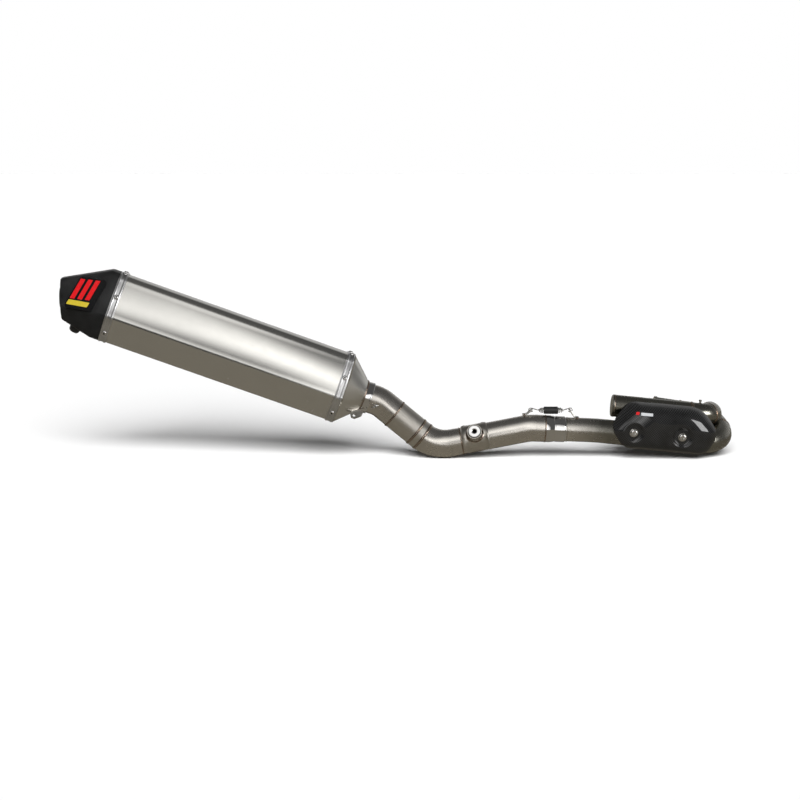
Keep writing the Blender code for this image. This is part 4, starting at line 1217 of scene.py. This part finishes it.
class Tree(Graph):
    """Nodes of a stage material or of the world."""

    def __init__(self, holder):
        super().__init__(holder)
        self.tree.nodes.clear()

    def span(self, value, low, high, to_low, to_high):
        limits = {"Value": value, "From Min": low, "From Max": high, "To Min": to_low, "To Max": to_high}
        made = self.node("ShaderNodeMapRange", limits, interpolation_type="SMOOTHSTEP")
        return made.outputs["Result"]

    def calc(self, operation, a, b):
        return self.node("ShaderNodeMath", {0: a, 1: b}, operation=operation).outputs[0]

    def ray(self, kind):
        return self.node("ShaderNodeLightPath").outputs[kind]

    def choose(self, factor, first, second):
        return self.node("ShaderNodeMixShader", {0: factor, 1: first, 2: second}).outputs[0]

    def finish(self, kind, shader):
        self.node(kind, {"Surface": shader})


def stage_plane(name, corners, material):
    mesh = bpy.data.meshes.new(name)
    mesh.from_pydata(corners, [], [(0, 1, 2, 3)])
    plane = bpy.data.objects.new(name, mesh)
    bpy.context.collection.objects.link(plane)
    plane.data.materials.append(material)
    return plane


def mirrored_only(panel):
    panel.visible_camera = panel.visible_diffuse = panel.visible_shadow = False


def build_floor(level):
    """White paper to the camera; dim and warm where the metal mirrors it."""
    material = bpy.data.materials.new("floor_paper")
    tree = Tree(material)
    seen = tree.node("ShaderNodeBsdfDiffuse", {"Color": (0.92, 0.92, 0.92, 1.0)}).outputs[0]
    dim = tree.node("ShaderNodeBsdfDiffuse", {"Color": (0.205, 0.188, 0.155, 1.0)}).outputs[0]
    tree.finish("ShaderNodeOutputMaterial", tree.choose(tree.ray("Is Camera Ray"), dim, seen))
    size = 40.0
    stage_plane("floor", [(-size, -size, level), (size, -size, level), (size, size, level),
                          (-size, size, level)],
                material)


def build_bank(level):
    """A tall soft bank in front of the part, brightest low down and fading upward and sideways."""
    y, left, right, top = -1.31, -1.75, 0.08, 3.4
    material = bpy.data.materials.new("bank_glow")
    tree = Tree(material)
    place = tree.node("ShaderNodeTexCoord").outputs["Object"]
    parts = tree.node("ShaderNodeSeparateXYZ", {0: place}).outputs
    fade = tree.ramp(tree.calc("DIVIDE", parts[2], top),
                     [(at, (level_of,) * 3) for at, level_of in BANK_FADE])
    sides = tree.calc("MULTIPLY", tree.span(parts[0], left, -1.15, 0.0, 1.0),
                      tree.span(parts[0], -0.10, right, 1.0, 0.0))
    foot = tree.span(parts[2], 0.34, 0.66, 0.02, 1.0)
    left_share = tree.span(parts[0], -0.42, -0.12, 1.0, 0.0)
    low = tree.calc("ADD", tree.calc("MULTIPLY", foot, left_share),
                    tree.calc("SUBTRACT", 1.0, left_share))
    shaped = tree.calc("MULTIPLY", tree.calc("MULTIPLY", fade, sides), low)
    strength = tree.calc("MULTIPLY", shaped, tree.span(parts[0], -0.60, -0.16, 1.45, 2.35))
    glow = tree.node("ShaderNodeEmission",
                     {"Color": (1.0, 0.995, 0.985, 1.0), "Strength": strength}).outputs[0]
    tree.finish("ShaderNodeOutputMaterial", glow)
    bank = stage_plane("front_bank",
                       [(left, y, level), (right, y, level), (right, y, top), (left, y, top)], material)
    mirrored_only(bank)


def build_softbox(centre, aim, width, height, strength):
    """A small bright window that gives the hard highlights."""
    material = bpy.data.materials.new("window_glow")
    tree = Tree(material)
    glow = tree.node("ShaderNodeEmission",
                     {"Color": (1.0, 1.0, 1.0, 1.0), "Strength": strength}).outputs[0]
    tree.finish("ShaderNodeOutputMaterial", glow)
    w, h = width / 2, height / 2
    window = stage_plane("window", [(-w, -h, 0), (w, -h, 0), (w, h, 0), (-w, h, 0)], material)
    window.location = centre
    window.rotation_euler = (aim - centre).to_track_quat("-Z", "Y").to_euler()
    mirrored_only(window)


def build_world():
    """White to the camera; for reflections dark overhead, with a soft bright wall behind."""
    world = bpy.data.worlds.new("studio")
    bpy.context.scene.world = world
    tree = Tree(world)
    place = tree.node("ShaderNodeTexCoord").outputs["Generated"]
    parts = tree.node("ShaderNodeSeparateXYZ", {0: place}).outputs
    low = tree.calc("MULTIPLY", tree.span(parts[2], -0.02, 0.06, 0.0, 1.0),
                    tree.span(parts[2], 0.18, 0.75, 1.0, 0.0))
    behind = tree.calc("MULTIPLY", low, tree.span(parts[1], -0.05, 0.55, 0.0, 1.0))
    strength = tree.calc("ADD", tree.calc("MULTIPLY", behind, 0.48), 0.10)
    studio = tree.node("ShaderNodeBackground",
                       {"Color": (1.0, 0.995, 0.985, 1.0), "Strength": strength}).outputs[0]
    fill = tree.node("ShaderNodeBackground", {"Color": (1.0, 1.0, 1.0, 1.0), "Strength": 0.02}).outputs[0]
    white = tree.node("ShaderNodeBackground", {"Color": (1.0, 1.0, 1.0, 1.0), "Strength": 1.0}).outputs[0]
    lit = tree.choose(tree.ray("Is Diffuse Ray"), studio, fill)
    tree.finish("ShaderNodeOutputWorld", tree.choose(tree.ray("Is Camera Ray"), lit, white))


def build_studio():
    level = cad_bounds[0][2] - 0.0005
    build_floor(level)
    build_bank(level)
    build_softbox(WINDOW_CENTRE, WINDOW_AIM, *WINDOW_SIZE, WINDOW_STRENGTH)
    build_world()
    sun = bpy.data.lights.new("key", "SUN")
    sun.energy, sun.angle = KEY_STRENGTH, KEY_ANGLE
    key = bpy.data.objects.new("key", sun)
    key.rotation_euler = (KEY_TILT, 0.0, 0.0)
    key.visible_glossy = False
    bpy.context.collection.objects.link(key)
    lens = bpy.data.cameras.new("camera")
    lens.lens, lens.sensor_width, lens.clip_end = CAMERA_LENS, SENSOR_WIDTH, 100.0
    camera = bpy.data.objects.new("camera", lens)
    back = Vector((0, -math.cos(CAMERA_ELEVATION), math.sin(CAMERA_ELEVATION)))
    camera.location = TARGET + back * CAMERA_DISTANCE
    camera.rotation_euler = (math.pi / 2 - CAMERA_ELEVATION, 0, 0)
    bpy.context.collection.objects.link(camera)
    bpy.context.scene.camera = camera
    bpy.context.scene.view_settings.view_transform = "Standard"


build_header()
build_chamber()
build_shield()
build_link()
build_spring()
build_shell()
build_inlet()
build_outlet()
build_rivets()
build_lug()
dress_solids()
build_cap_badge()
build_shield_badge()
build_studio()
